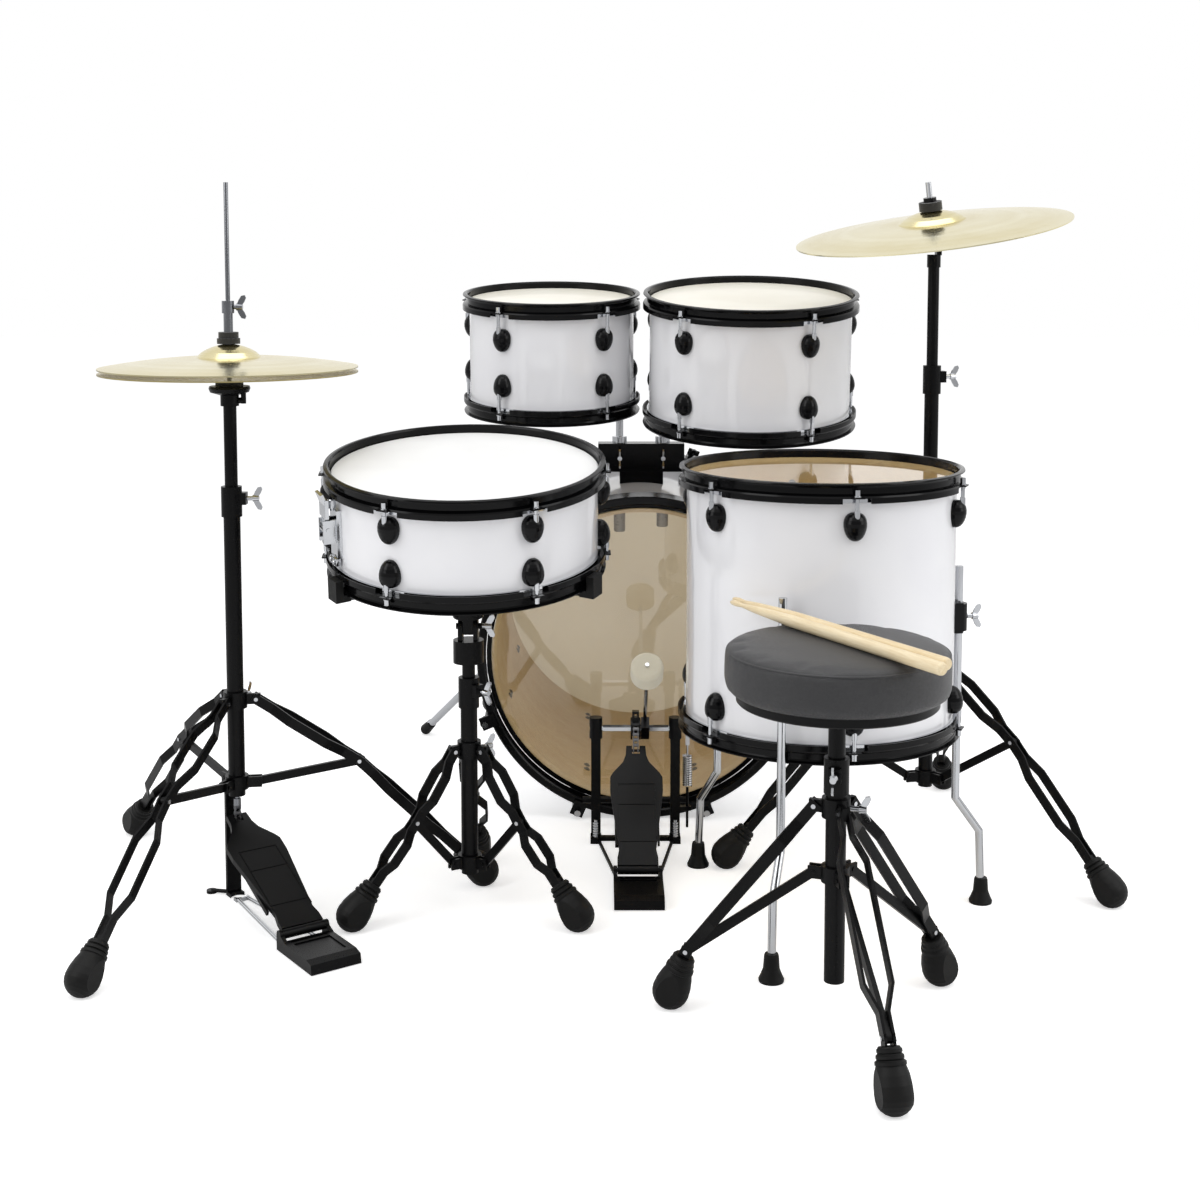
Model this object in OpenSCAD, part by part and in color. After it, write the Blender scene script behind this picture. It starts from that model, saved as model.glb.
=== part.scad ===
// Acoustic drum kit on stands: bass drum with pedal, two mounted toms, floor tom, snare,
// hi-hat, crash and a throne with a pair of sticks.
// +X is to the drummer's right, +Y points at the audience, +Z is up, and the floor is z = 0.

/* [Layout] */
// Hi-hat stand's axis, to the drummer's right of the bass drum's middle
hihat_x = -548; // [-600:1:-500]
// Hi-hat stand's axis, in front of the bass pedal's plate
hihat_y = -208; // [-240:1:-160]
// Snare stand's axis, to the right
snare_x = -236; // [-260:1:-210]
// Snare stand's axis, to the front
snare_y = -236; // [-260:1:-220]
// Crash stand's axis, to the right
crash_x = 405; // [395:1:460]
// Crash stand's axis, to the front
crash_y = -21; // [-40:1:20]
// Throne's axis, to the right
throne_x = 196; // [150:1:240]
// Throne's axis, to the front
throne_y = -606; // [-680:1:-596]
// Floor tom's axis, to the right
floor_x = 219; // [200:1:260]
// Floor tom's axis, to the front
floor_y = -260; // [-280:1:-240]
// Middle of the small tom's rim, to the right
tom1_x = -139; // [-160:1:-130]
// Middle of the small tom's rim, to the front
tom1_y = 224; // [200:1:250]
// Middle of the large tom's rim, to the right
tom2_x = 164; // [155:1:190]
// Middle of the large tom's rim, to the front
tom2_y = 159; // [140:1:190]

/* [Bass drum] */
// Diameter of the bass drum shell
bass_shell_d = 457; // [400:1:560]
// Depth of the bass drum shell
bass_depth = 406; // [300:1:500]
// How far the front of the bass drum is raised, in degrees
bass_tilt = 3; // [0:0.5:8]
// Distance from the pedal's posts to the front face of the batter hoop
bass_y = 105; // [90:1:140]
// Radial thickness of the wooden hoops
bass_hoop_t = 13; // [9:0.5:16]
// Depth of the wooden hoops along the drum
bass_hoop_w = 42; // [34:1:50]
// Claws on each hoop
bass_claws_n = 8; // [6:2:10]
// Distance of a spur's bracket from the front edge of the shell
spur_inset = 126; // [90:1:160]
// Distance of the tom mount from the batter edge of the shell
mount_inset = 224; // [200:1:300]

/* [Toms] */
// Diameter of the small tom's shell
tom1_d = 254; // [203:1:280]
// Depth of the small tom's shell
tom1_depth = 163; // [130:1:230]
// Diameter of the large tom's shell
tom2_d = 305; // [280:1:330]
// Depth of the large tom's shell
tom2_depth = 181; // [150:1:230]
// Height of the small tom's rim
tom1_z = 800; // [780:1:860]
// Height of the large tom's rim
tom2_z = 802; // [790:1:860]
// Tilt of the small tom towards the drummer
tom1_tilt = 6; // [0:0.5:15]
// Tilt of the large tom towards the drummer
tom2_tilt = 8; // [0:0.5:15]
// Diameter of the chromed tom arms
tom_arm_d = 12; // [9.5:0.5:16]

/* [Floor tom] */
// Diameter of the floor tom's shell
floor_d = 343; // [320:1:406]
// Depth of the floor tom's shell
floor_depth = 318; // [280:1:400]
// Height of the floor tom's top rim
floor_z = 592; // [560:1:640]
// Diameter of the bent legs
floor_leg_d = 10.5; // [9:0.5:13]
// Outward bend of a leg below the drum
floor_leg_bend = 38; // [20:1:50]

/* [Snare drum] */
// Diameter of the snare drum's shell
snare_d = 339; // [305:1:356]
// Depth of the snare drum's shell
snare_depth = 121; // [90:1:165]
// Height of the middle of the snare drum's top rim
snare_z = 600; // [580:1:660]
// Tilt of the snare drum towards the drummer
snare_tilt = 9; // [0:0.5:15]

/* [Shell fittings] */
// Wall of every shell
shell_t = 7; // [5:0.5:9]
// Height of a flanged hoop's lip above the shell's edge
lip_h = 11.5; // [9:0.5:14]
// Length of an egg-shaped lug
lug_len = 35; // [30:1:44]
// Width of an egg-shaped lug
lug_w = 28; // [22:1:32]
// Diameter of a tension rod
rod_d = 5; // [4:0.5:6]

/* [Hi-hat] */
// Diameter of the hi-hat cymbals
hihat_d = 334; // [305:1:381]
// Height of the rim of the upper hi-hat cymbal
hihat_z = 714; // [700:1:800]
// Gap between the rims of the two cymbals
hihat_gap = 8; // [6:0.5:20]
// Height of the end of the pull rod
hihat_rod_z = 953; // [880:1:1000]
// Height of the clamp between the hi-hat's two tubes
hihat_clamp_z = 541; // [450:1:570]
// Floor radius of the hi-hat's tripod
hihat_reach = 340; // [300:1:380]

/* [Crash cymbal] */
// Diameter of the crash cymbal
crash_d = 384; // [356:1:457]
// Height of the middle of the crash cymbal
crash_z = 921; // [880:1:1000]
// Height of the clamp between the crash stand's two tubes
crash_clamp_z = 687; // [600:1:720]
// Floor radius of the crash stand's tripod
crash_reach = 312; // [280:1:360]
// Tilt of the crash cymbal towards the drummer
crash_pitch = 7; // [0:0.5:15]
// Tilt of the crash cymbal towards the middle of the kit
crash_roll = 8; // [0:0.5:15]

/* [Throne] */
// Diameter of the seat
seat_d = 252; // [240:1:330]
// Thickness of the seat
seat_h = 56; // [45:1:75]
// Height of the top of the seat
seat_z = 440; // [420:1:500]
// Floor radius of the throne's tripod
throne_reach = 201; // [180:1:260]

/* [Stands] */
// Outer diameter of the stands' lower tubes
lower_tube_d = 22; // [19:0.5:25]
// Outer diameter of the stands' upper tubes
upper_tube_d = 17; // [14:0.5:18]
// Width of a leg's steel strip
strip_w = 13; // [10:0.5:16]
// Thickness of a leg's steel strip
strip_t = 3; // [2:0.5:4]
// Spread between the two strips of a leg
leg_spread = 31; // [24:1:38]

/* [Pedals] */
// Width of a footboard at the ball of the foot
board_w = 75; // [65:1:85]
// Thickness of a footboard
board_t = 7; // [5:0.5:10]
// Height of the bass pedal's axle
axle_z = 168; // [160:1:195]
// Distance between the bass pedal's posts
post_gap = 116; // [100:1:130]
// Length of the beater's shaft from the axle to the felt
beater_len = 150; // [130:1:160]
// How far the beater leans back at rest, in degrees
beater_lean = 46; // [30:1:50]

/* [Sticks] */
// Length of a drumstick
stick_len = 385; // [360:1:420]
// Diameter of a drumstick
stick_d = 14; // [12:0.5:16]

/* [Hidden] */
$fn = 64;

// clearances
seat_gap = 0.05;   // between fixed pieces that seat on each other
run_gap = 0.06;    // radial, round a pin that turns
slide_gap = 0.3;   // between tubes that slide
rivet_gap = 0.2;   // round a rivet
far = 1000;        // past the end of anything that it cuts

// places on the floor, [x, y]
hihat_at = [hihat_x, hihat_y];
snare_at = [snare_x, snare_y];
crash_at = [crash_x, crash_y];
throne_at = [throne_x, throne_y];
floor_at = [floor_x, floor_y];
tom1_at = [tom1_x, tom1_y];
tom2_at = [tom2_x, tom2_y];
pedal_at = [-12, 20];

// turn of each tripod's first leg
hihat_turn = 8.7;
snare_turn = -30;
crash_turn = -46.2;
throne_turn = -79;

// flanged hoop, measured from the shell's outer face and from its edge
hoop_in = 2.2;
hoop_wall = 2.3;
flange_out = 10.5;
flange_z = 4;
spot_z = flange_z + 0.5;
spot_r = 5;
skirt_z = 13;
rod_out = 11;
ear_out = 16.5;
flesh_h = 6;
film_t = 0.8;
edge_gap = 0.15;
lug_out = 2;

// bass drum
bass_r = bass_shell_d/2;
bass_hoop_in = 8.5;
bass_hoop_r = bass_r + bass_hoop_in + bass_hoop_t;
bass_edge = bass_hoop_w/2 + 1;
bass_zc = bass_hoop_r*cos(bass_tilt) + bass_edge*sin(bass_tilt);
bass_yc = bass_y + bass_edge*cos(bass_tilt);
claw_rod_r = bass_hoop_r + 7;
vent_z = 85;
vent_r = 6;
spur_turn = 20;
spur_r = 6.5;
spur_tip_r = 9.5;

// tom mount
mount_l = mount_inset;
mount_arm_x = 35;
mount_x = 3;
mount_top = 60;
arm_r = tom_arm_d/2;
knuckle_drop = 118;
knuckle_r = 15;
knuckle_pin = 4;

// floor tom legs
floor_leg_r = floor_leg_d/2;
floor_leg_ring = floor_d/2 + flange_out + floor_leg_r + 2;
floor_leg_turns = [129.5, -110.4, 9.6];
floor_leg_top = 455;
floor_bracket_z = 388;
floor_knee = 145;
floor_ankle = 98;
floor_tip_h = 34;

// stands
tube_wall = 1.6;
strip_c = 4.9;
ear_t = 2*strip_c - strip_t - 2*0.3;
rivet_r = 2.6;
foot_l = 74;
foot_w = 33;
hihat_legset = [[27, 272], [162, 182], [hihat_reach, 160], hihat_turn];
crash_legset = [[25, 285], [145, 190], [crash_reach, 111], crash_turn];
snare_legset = [[23, 213], [78, 127], [178, 62], snare_turn];
throne_legset = [[24, 256], [170, 70], [throne_reach, 181], throne_turn];

// hi-hat pieces
rod_r = 3;
rod_step = 0.2;
rod_low_r = rod_r - rod_step;
bell_h = 30;
cymbal_t = 1.6;
hihat_seat_z = hihat_z - hihat_gap - 21;
pedal_turn = -54.7;
// pedals: the footboard's hinge, its slope, and the pin at its toe that pulls the chain
hinge_r = 6;
hinge_z = 21;
hinge_pin = 3;
hinge_ear = 5;
toe_pin = 2;
toe_end = 6;
chain_pitch = 8;
chain_w = 6.4;
hh_hinge = 196;
hh_slope = 23.5;
hh_heel = 92;
hh_chain_n = 2;
bd_hinge = -160;
bd_slope = 36;
bd_heel = 95;
bd_chain_n = 4;
cam_r = 16;
bd_chain_y = pedal_at[1] - cam_r - chain_w/2 - 0.4;
pin_lift = board_t/2 - 1;
function board_len(reach, slope) = (reach + pin_lift*sin(slope))/cos(slope) + toe_end;
function pin_z(reach, slope) = hinge_z + (board_len(reach, slope) - toe_end)*sin(slope) + pin_lift*cos(slope);
bd_len = board_len(bd_chain_y - bd_hinge, bd_slope);
hh_len = board_len(hh_hinge, hh_slope);
bd_pin_z = pin_z(bd_chain_y - bd_hinge, bd_slope);
hh_pin_z = pin_z(hh_hinge, hh_slope);
hh_rod_low = hh_pin_z + hh_chain_n*chain_pitch + 3 + 0.3;
post_w = 14;
post_r = 9.5;
journal_r = 4;
axle_r = 5.2;
beater_x = 13.6;
beater_off = 8.4;
beater_rod = 2.8;
beater_d = 46;
beater_h = 32;

// ---------- helpers ----------
module ring(ro, ri, h) { difference() { cylinder(r = ro, h = h); translate([0, 0, -1]) cylinder(r = ri, h = h + 2); } }
// a round bar from a to b
module bar(a, b, r) {
  v = b - a;
  translate(a) rotate([0, acos(v[2]/norm(v)), atan2(v[1], v[0])]) cylinder(r = r, h = norm(v));
}
module block(size, at) { translate(at - [size[0]/2, size[1]/2, 0]) cube(size); }
// wing bolt along +X, its boss face at the origin
module wing_bolt(l) {
  rotate([0, 90, 0]) cylinder(r = 3, h = l);
  translate([l, 0, 0]) rotate([0, 90, 0]) cylinder(r1 = 4.6, r2 = 3.6, h = 8);
  translate([0, 1.3, 0]) rotate([90, 0, 0]) linear_extrude(height = 2.6) polygon([
    [l + 0.5, -3], [l + 0.5, 3], [l + 3, 9], [l + 6.5, 14.5], [l + 11, 15.5], [l + 12.6, 12], [l + 10.5, 7], [l + 7, 2],
    [l + 7, -2], [l + 10.5, -7], [l + 12.6, -12], [l + 11, -15.5], [l + 6.5, -14.5], [l + 3, -9]]);
}

// ---------- drums ----------
function egg_r(a, w) = w/2*pow(sin(a), 0.8)*(1 + 0.14*cos(a));
// egg about Z with its broad end up, centred on the origin
module egg(l, w) {
  rotate_extrude() polygon([for (i = [0:12]) let (a = 180*i/12) [i == 0 || i == 12 ? 0 : egg_r(a, w), l/2*cos(a)]]);
}
// shell with bevelled bearing edges, top edge at z = 0
module shell(d, depth) {
  r = d/2;
  translate([0, 0, -depth]) rotate_extrude() polygon([
    [r - shell_t, shell_t - 2], [r - 2, 0], [r, 0], [r, depth], [r - 2, depth], [r - shell_t, depth - shell_t + 2]]);
}
// triple-flanged hoop over the edge at z = 0, with an ear and a notch at each rod
module flanged_hoop(d, n, turn) {
  r = d/2;
  difference() {
    union() {
      rotate_extrude() polygon([
        [r + hoop_in, -flange_z - 2.4], [r + hoop_in, lip_h - 2.5], [r + hoop_in + 1.2, lip_h - 0.6],
        [r + hoop_in + 3, lip_h], [r + flange_out - 1, lip_h - 0.8], [r + flange_out - 0.4, lip_h - 2.6],
        [r + hoop_in + hoop_wall + 0.6, lip_h - 4], [r + hoop_in + hoop_wall, lip_h - 6],
        [r + hoop_in + hoop_wall, -flange_z + 2.4], [r + flange_out - 1, -flange_z],
        [r + flange_out, -flange_z - 2], [r + flange_out, -skirt_z], [r + flange_out - 1.8, -skirt_z],
        [r + flange_out - 1.8, -flange_z - 2.4]]);
      for (i = [0:n - 1]) rotate(turn + 360*i/n) translate([r + hoop_in + 1, -8, -flange_z - 2.2])
        cube([ear_out - hoop_in - 1, 16, 1.9]);
    }
    for (i = [0:n - 1]) rotate(turn + 360*i/n) {
      translate([r + rod_out, 0, -skirt_z]) cylinder(r = rod_d/2 + rivet_gap, h = skirt_z + 2);
      translate([r + rod_out, 0, -spot_z]) cylinder(r = spot_r, h = 8);
      translate([r + hoop_in + 3, 0, -flange_z - 2.7 - 20]) cylinder(r = 20, h = 20, $fn = 6);
    }
  }
}
// drum head: the film, its collar and the flesh hoop, over the edge at z = 0
module drum_head(d) {
  r = d/2;
  rotate_extrude() polygon([
    [0, edge_gap], [r + 0.4, edge_gap], [r + 0.4, -flange_z - 2.5 - flesh_h], [r + 3.6, -flange_z - 2.5 - flesh_h],
    [r + 3.6, -flange_z - 2.5], [r + 1.3, -flange_z - 2.5], [r + 1.3, -1], [r - 0.5, edge_gap + film_t], [0, edge_gap + film_t]]);
}
// one lug and its rod, for the hoop at z = 0, at the +X side
module lug_and_rod(d, inset) {
  r = d/2;
  difference() {
    translate([r + lug_out, 0, -inset]) egg(lug_len, lug_w);
    translate([0, 0, -inset - lug_len]) cylinder(r = r + seat_gap, h = 2*lug_len, $fn = 96);
    translate([r + rod_out, 0, -inset]) cylinder(r = 3.4 + seat_gap, h = lug_len);
  }
  translate([r + rod_out, 0, -inset + seat_gap]) {
    cylinder(r = 3.4, h = lug_len/2 + 3);
    cylinder(r = rod_d/2, h = inset - flange_z + 5);
    translate([0, 0, inset - spot_z]) cylinder(r = spot_r - 0.4, h = 1.4);
    translate([0, 0, inset - spot_z + 1.2]) cylinder(r = 3.4, h = 7.4);
  }
}
module lug_set(d, depth, n, turn, inset) {
  for (i = [0:n - 1]) rotate(turn + 360*i/n) {
    lug_and_rod(d, inset);
    translate([0, 0, -depth]) mirror([0, 0, 1]) lug_and_rod(d, inset);
  }
}
module hoop_pair(d, depth, n, turn) {
  flanged_hoop(d, n, turn);
  translate([0, 0, -depth]) mirror([0, 0, 1]) flanged_hoop(d, n, turn);
}
module head_pair(d, depth) {
  drum_head(d);
  translate([0, 0, -depth]) mirror([0, 0, 1]) drum_head(d);
}
// each drum's own frame: z = 0 at its upper bearing edge
module on_drum(at, z, tilt) { translate([at[0], at[1], z]) rotate([tilt, 0, 0]) translate([0, 0, -lip_h]) children(); }
module on_tom1() { on_drum(tom1_at, tom1_z, tom1_tilt) children(); }
module on_tom2() { on_drum(tom2_at, tom2_z, tom2_tilt) children(); }
module on_floor() { on_drum(floor_at, floor_z, 0) children(); }
// the snare drum tilts about the basket's ball, below the middle of its lower rim
snare_total = snare_depth + 2*lip_h;
ball_drop = 82;
ball_z = snare_z - (snare_total + ball_drop)*cos(snare_tilt);
module on_basket() { translate([snare_at[0], snare_at[1], ball_z]) rotate([snare_tilt, 0, 0]) children(); }
module on_snare() { on_basket() translate([0, 0, ball_drop + snare_total - lip_h]) children(); }

tom1_turn = -87.4 + 36;
tom2_turn = -97 + 36;
floor_turn = -83.5;
snare_turn_lugs = 2;
tom1_inset = 47;
tom2_inset = 45;
floor_inset = 41;
snare_inset = 33;

// ---------- bass drum ----------
// frame of the bass drum: z = 0 at the batter edge, +z along the drum, -y up
module on_bass() { translate([0, bass_yc, bass_zc]) rotate([-(90 - bass_tilt), 0, 0]) children(); }
module bass_shell() {
  color("whitesmoke") on_bass() difference() {
    translate([0, 0, bass_depth]) shell(bass_shell_d, bass_depth);
    translate([mount_x, 0, vent_z]) rotate([90, 0, 0]) cylinder(r = vent_r, h = bass_shell_d);
  }
}
module wood_hoop() {
  translate([0, 0, -bass_edge]) rotate_extrude() translate([bass_hoop_r - bass_hoop_t, 0]) polygon([
    [0, 2], [2, 0], [bass_hoop_t - 3, 0], [bass_hoop_t - 1, 1], [bass_hoop_t, 3], [bass_hoop_t, bass_hoop_w - 3],
    [bass_hoop_t - 1, bass_hoop_w - 1], [bass_hoop_t - 3, bass_hoop_w], [6, bass_hoop_w], [6, bass_edge + 2], [0, bass_edge + 2]]);
}
module at_front_edge() { translate([0, 0, bass_depth]) mirror([0, 0, 1]) children(); }
module bass_hoops() {
  color("black") on_bass() { wood_hoop(); at_front_edge() wood_hoop(); }
}
module bass_head() {
  rotate_extrude() polygon([
    [0, -edge_gap - film_t], [bass_r - 1, -edge_gap - film_t], [bass_r + 1.4, 1], [bass_r + 1.4, 2.5], [bass_r + 8, 2.5],
    [bass_r + 8, 3.3], [bass_r + 5.5, 3.3], [bass_r + 5.5, 12], [bass_r + 0.4, 12], [bass_r + 0.4, 0], [bass_r - 2, -edge_gap], [0, -edge_gap]]);
}
module bass_heads() {
  color("wheat") on_bass() { bass_head(); at_front_edge() bass_head(); }
}
// claw over the hoop, its rod, and the lug that the rod pulls on
module claw() {
  face = -bass_edge - seat_gap;
  difference() {
    union() {
      translate([bass_hoop_r - 9, -10, face - 4]) cube([9 + 14, 20, 4]);
      translate([bass_hoop_r + seat_gap, -10, face - 1]) cube([4, 20, 32]);
      translate([claw_rod_r, 0, face - 4]) cylinder(r = 8, h = 14);
    }
    translate([claw_rod_r, 0, face - 20]) cylinder(r = 3.2, h = 60);
    translate([0, 0, face]) cylinder(r = bass_hoop_r + seat_gap, h = bass_hoop_w, $fn = 96);
  }
  lug_c = 78;
  translate([claw_rod_r, 0, face - 11]) cylinder(r = 2.8, h = lug_c - face);
  translate([claw_rod_r, 0, face - 13]) cylinder(r = 4.8, h = 9 - seat_gap);
  difference() {
    union() {
      translate([claw_rod_r - 3, 0, lug_c]) mirror([0, 0, 1]) egg(lug_len + 8, lug_w);
      translate([bass_r - 2, 0, lug_c + 2]) rotate([0, 90, 0]) cylinder(r = 11, h = claw_rod_r - bass_r);
    }
    cylinder(r = bass_r + seat_gap, h = 3*lug_c, $fn = 96);
    translate([claw_rod_r, 0, 0]) cylinder(r = 2.8 + seat_gap, h = lug_c - 10);
  }
}
module bass_claws() {
  color("black") on_bass() for (i = [0:bass_claws_n - 1]) rotate(180/bass_claws_n + 360*i/bass_claws_n) {
    claw();
    at_front_edge() claw();
  }
  color("black") for (s = [-1, 1]) spur_bracket(s);
}

// spur bracket and tube; the bracket's boss stands out of the shell at a low angle
spur_l = bass_depth - spur_inset;
spur_boss_r = 15;
spur_out = 26;
module spur_axis(side) {
  on_bass() translate([0, 0, spur_l]) mirror([side < 0 ? 1 : 0, 0, 0]) rotate(spur_turn) translate([bass_r, 0, 0]) rotate([0, 90, 0]) children();
}
module spur_bracket(side) {
  spur_axis(side) difference() {
    union() {
      translate([0, 0, -6]) cylinder(r = 24, h = 12);
      cylinder(r = spur_boss_r, h = spur_out - 12);
      cylinder(r = 5, h = spur_out - 1);
    }
    rotate([0, -90, 0]) translate([-bass_r, 0, -40]) cylinder(r = bass_r + seat_gap, h = 80, $fn = 96);
  }
}
// the tube leans out of the bracket, forward and down to the floor, where a rubber ball tips it
spur_lean = 44;
spur_drop = 143;
// height of the bracket's boss face, and the drop of the tube for each unit of its length
spur_start = spur_out - 4;
spur_root_z = bass_zc + spur_l*sin(bass_tilt) - (bass_r + spur_start)*sin(spur_turn)*cos(bass_tilt);
spur_fall = cos(bass_tilt)*(sin(spur_turn)*sin(spur_lean) + cos(spur_turn)*cos(spur_lean)*sin(spur_drop))
  + sin(bass_tilt)*cos(spur_lean)*cos(spur_drop);
spur_len = (spur_root_z - spur_tip_r)/spur_fall;
module spur(side) {
  color("silver") spur_axis(side) {
    difference() {
      translate([0, 0, spur_out - 12 + 0.3]) cylinder(r = spur_boss_r, h = 14);
      translate([0, 0, spur_out - 16]) cylinder(r = 5 + run_gap, h = 16);
    }
    translate([0, 0, spur_start]) rotate([0, 0, spur_drop]) rotate([0, 90 - spur_lean, 0]) {
      translate([0, 0, 13]) cylinder(r = spur_r, h = spur_len - 13);
      translate([0, 0, spur_len - 24]) cylinder(r1 = spur_tip_r - 1.5, r2 = spur_tip_r, h = 24);
      translate([0, 0, spur_len]) sphere(r = spur_tip_r);
    }
  }
}
module spur_left() { spur(-1); }
module spur_right() { spur(1); }

// ---------- tom mount ----------
mount_y = bass_yc + mount_l*cos(bass_tilt);
mount_z = bass_zc + mount_l*sin(bass_tilt) + bass_r/cos(bass_tilt);
block_w = 2*mount_arm_x + 70;
module tom_mount() {
  color("black") {
    difference() {
      union() {
        translate([mount_x - block_w/2, mount_y - 17, mount_z + 14]) cube([block_w, 34, mount_top - 14]);
        translate([mount_x - 35, mount_y - 30, mount_z - 10]) cube([70, 60, 26]);
      }
      on_bass() cylinder(r = bass_r + seat_gap, h = bass_depth, $fn = 96);
      for (s = [-1, 1]) translate([mount_x + s*mount_arm_x, mount_y, mount_z + 20]) cylinder(r = arm_r + slide_gap, h = mount_top);
    }
  }
  color("silver") for (s = [-1, 1])
    translate([mount_x + s*mount_arm_x, mount_y - 17 - seat_gap, mount_z + 38]) rotate([0, 0, -90]) wing_bolt(12);
}
// an arm: the rod in the mount and the knuckle on top, whose axis runs along X
// the knuckle's arm half is on the side named, and the tom's half on the other
module tom_arm(x, rim_z, side) {
  top = rim_z - knuckle_drop;
  color("silver") translate([x, mount_y, mount_z + 22]) {
    cylinder(r = arm_r, h = top - knuckle_r - 6.1 - mount_z - 22);
    translate([0, 0, mount_top - 22 + 0.4]) ring(arm_r + 6, arm_r + seat_gap, 10);
  }
  color("black") translate([x, mount_y, top]) mirror([side < 0 ? 1 : 0, 0, 0]) difference() {
    union() {
      rotate([0, 90, 0]) translate([0, 0, 2.5]) cylinder(r = knuckle_r, h = 9);
      translate([-8.5, -9, -knuckle_r - 18]) cube([20, 18, 16.4]);
      translate([2.5, -9, -knuckle_r - 4]) cube([9, 18, knuckle_r + 4]);
    }
    rotate([0, 90, 0]) translate([0, 0, -20]) cylinder(r = knuckle_pin + run_gap, h = 40);
    translate([0, 0, -knuckle_r - 20]) cylinder(r = arm_r + seat_gap, h = 14);
  }
}
module tom1_arm() { tom_arm(mount_x - mount_arm_x, tom1_z, 1); }
module tom2_arm() { tom_arm(mount_x + mount_arm_x, tom2_z, -1); }
// the tom's half of the knuckle, the rod and the bracket on the shell
module tom_holder(at, rim_z, tilt, d, x, side) {
  k = [x, mount_y, rim_z - knuckle_drop];
  turn = atan2(mount_y - at[1], x - at[0]);
  out = d/2 + 20;
  foot = [at[0] + out*cos(turn), at[1] + knuckle_drop*sin(tilt) + out*sin(turn)*cos(tilt),
    rim_z - knuckle_drop*cos(tilt) + out*sin(turn)*sin(tilt)];
  color("black") {
    translate(k) mirror([side < 0 ? 1 : 0, 0, 0]) {
      rotate([0, -90, 0]) translate([0, 0, -2.2]) cylinder(r = knuckle_r, h = 9);
      rotate([0, 90, 0]) translate([0, 0, 2]) cylinder(r = knuckle_pin, h = 14);
    }
    bar(k + [-3*side, -6, 0], foot, arm_r);
    difference() {
      translate([at[0], at[1], rim_z]) rotate([tilt, 0, 0]) translate([0, 0, -knuckle_drop]) rotate(turn)
        union() {
          translate([d/2 - 8, -19, -27]) cube([16, 38, 54]);
          translate([d/2 + 2, 0, 0]) rotate([0, 90, 0]) cylinder(r = 13, h = 20);
        }
      translate([at[0], at[1], rim_z]) rotate([tilt, 0, 0]) translate([0, 0, -knuckle_drop - 50]) cylinder(r = d/2 + seat_gap, h = 100, $fn = 96);
    }
  }
}

// ---------- the drums' nodes ----------
module tom1_shell() { color("white") on_tom1() shell(tom1_d, tom1_depth); }
module tom1_hoops() { color("black") on_tom1() hoop_pair(tom1_d, tom1_depth, 5, tom1_turn); }
module tom1_heads() { color("ivory") on_tom1() head_pair(tom1_d, tom1_depth); }
module tom1_lugs() {
  color("black") on_tom1() lug_set(tom1_d, tom1_depth, 5, tom1_turn, tom1_inset);
  tom_holder(tom1_at, tom1_z, tom1_tilt, tom1_d, mount_x - mount_arm_x, 1);
}
module tom2_shell() { color("white") on_tom2() shell(tom2_d, tom2_depth); }
module tom2_hoops() { color("black") on_tom2() hoop_pair(tom2_d, tom2_depth, 5, tom2_turn); }
module tom2_heads() { color("ivory") on_tom2() head_pair(tom2_d, tom2_depth); }
module tom2_lugs() {
  color("black") on_tom2() lug_set(tom2_d, tom2_depth, 5, tom2_turn, tom2_inset);
  tom_holder(tom2_at, tom2_z, tom2_tilt, tom2_d, mount_x + mount_arm_x, -1);
}
module floor_tom_shell() { color("white") on_floor() shell(floor_d, floor_depth); }
module floor_tom_hoops() { color("black") on_floor() hoop_pair(floor_d, floor_depth, 6, floor_turn); }
module floor_tom_heads() { color("wheat") on_floor() head_pair(floor_d, floor_depth); }
module at_floor_leg(i) { translate([floor_at[0], floor_at[1], 0]) rotate(floor_leg_turns[i]) translate([floor_leg_ring, 0, 0]) children(); }
module floor_tom_lugs() {
  color("black") {
    on_floor() lug_set(floor_d, floor_depth, 6, floor_turn, floor_inset);
    for (i = [0:2]) difference() {
      at_floor_leg(i) union() {
        translate([-18, -13, floor_bracket_z - 20]) cube([20, 26, 40]);
        translate([0, 0, floor_bracket_z - 18]) cylinder(r = 11, h = 36);
      }
      translate([floor_at[0], floor_at[1], 0]) cylinder(r = floor_d/2 + seat_gap, h = floor_z, $fn = 96);
      at_floor_leg(i) translate([0, 0, floor_bracket_z - 30]) cylinder(r = floor_leg_r + slide_gap, h = 60);
    }
    for (i = [0:2]) at_floor_leg(i) translate([11.5, 0, floor_bracket_z]) wing_bolt(7);
  }
}
// a bent leg: straight in its bracket, stepped outwards below the drum, with a flared rubber tip
module floor_leg(i) {
  at_floor_leg(i) {
    color("silver") {
      translate([0, 0, floor_knee]) cylinder(r = floor_leg_r, h = floor_leg_top - floor_knee);
      translate([0, 0, floor_knee]) sphere(r = floor_leg_r);
      bar([0, 0, floor_knee], [floor_leg_bend - 4, 0, floor_ankle], floor_leg_r);
      translate([floor_leg_bend - 4, 0, floor_ankle]) sphere(r = floor_leg_r);
      bar([floor_leg_bend - 4, 0, floor_ankle], [floor_leg_bend, 0, 8], floor_leg_r);
    }
    color("black") translate([floor_leg_bend, 0, 0]) difference() {
      rotate_extrude() polygon([[0, 0], [15, 0], [15.5, 3], [13.5, 7], [10, 16], [9, floor_tip_h - 3], [8, floor_tip_h], [0, floor_tip_h]]);
      translate([0, 0, 0]) bar([0, 0, 8 - 1], [-4, 0, floor_ankle], floor_leg_r + seat_gap);
    }
  }
}
module floor_tom_leg_1() { floor_leg(0); }
module floor_tom_leg_2() { floor_leg(1); }
module floor_tom_leg_3() { floor_leg(2); }

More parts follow.
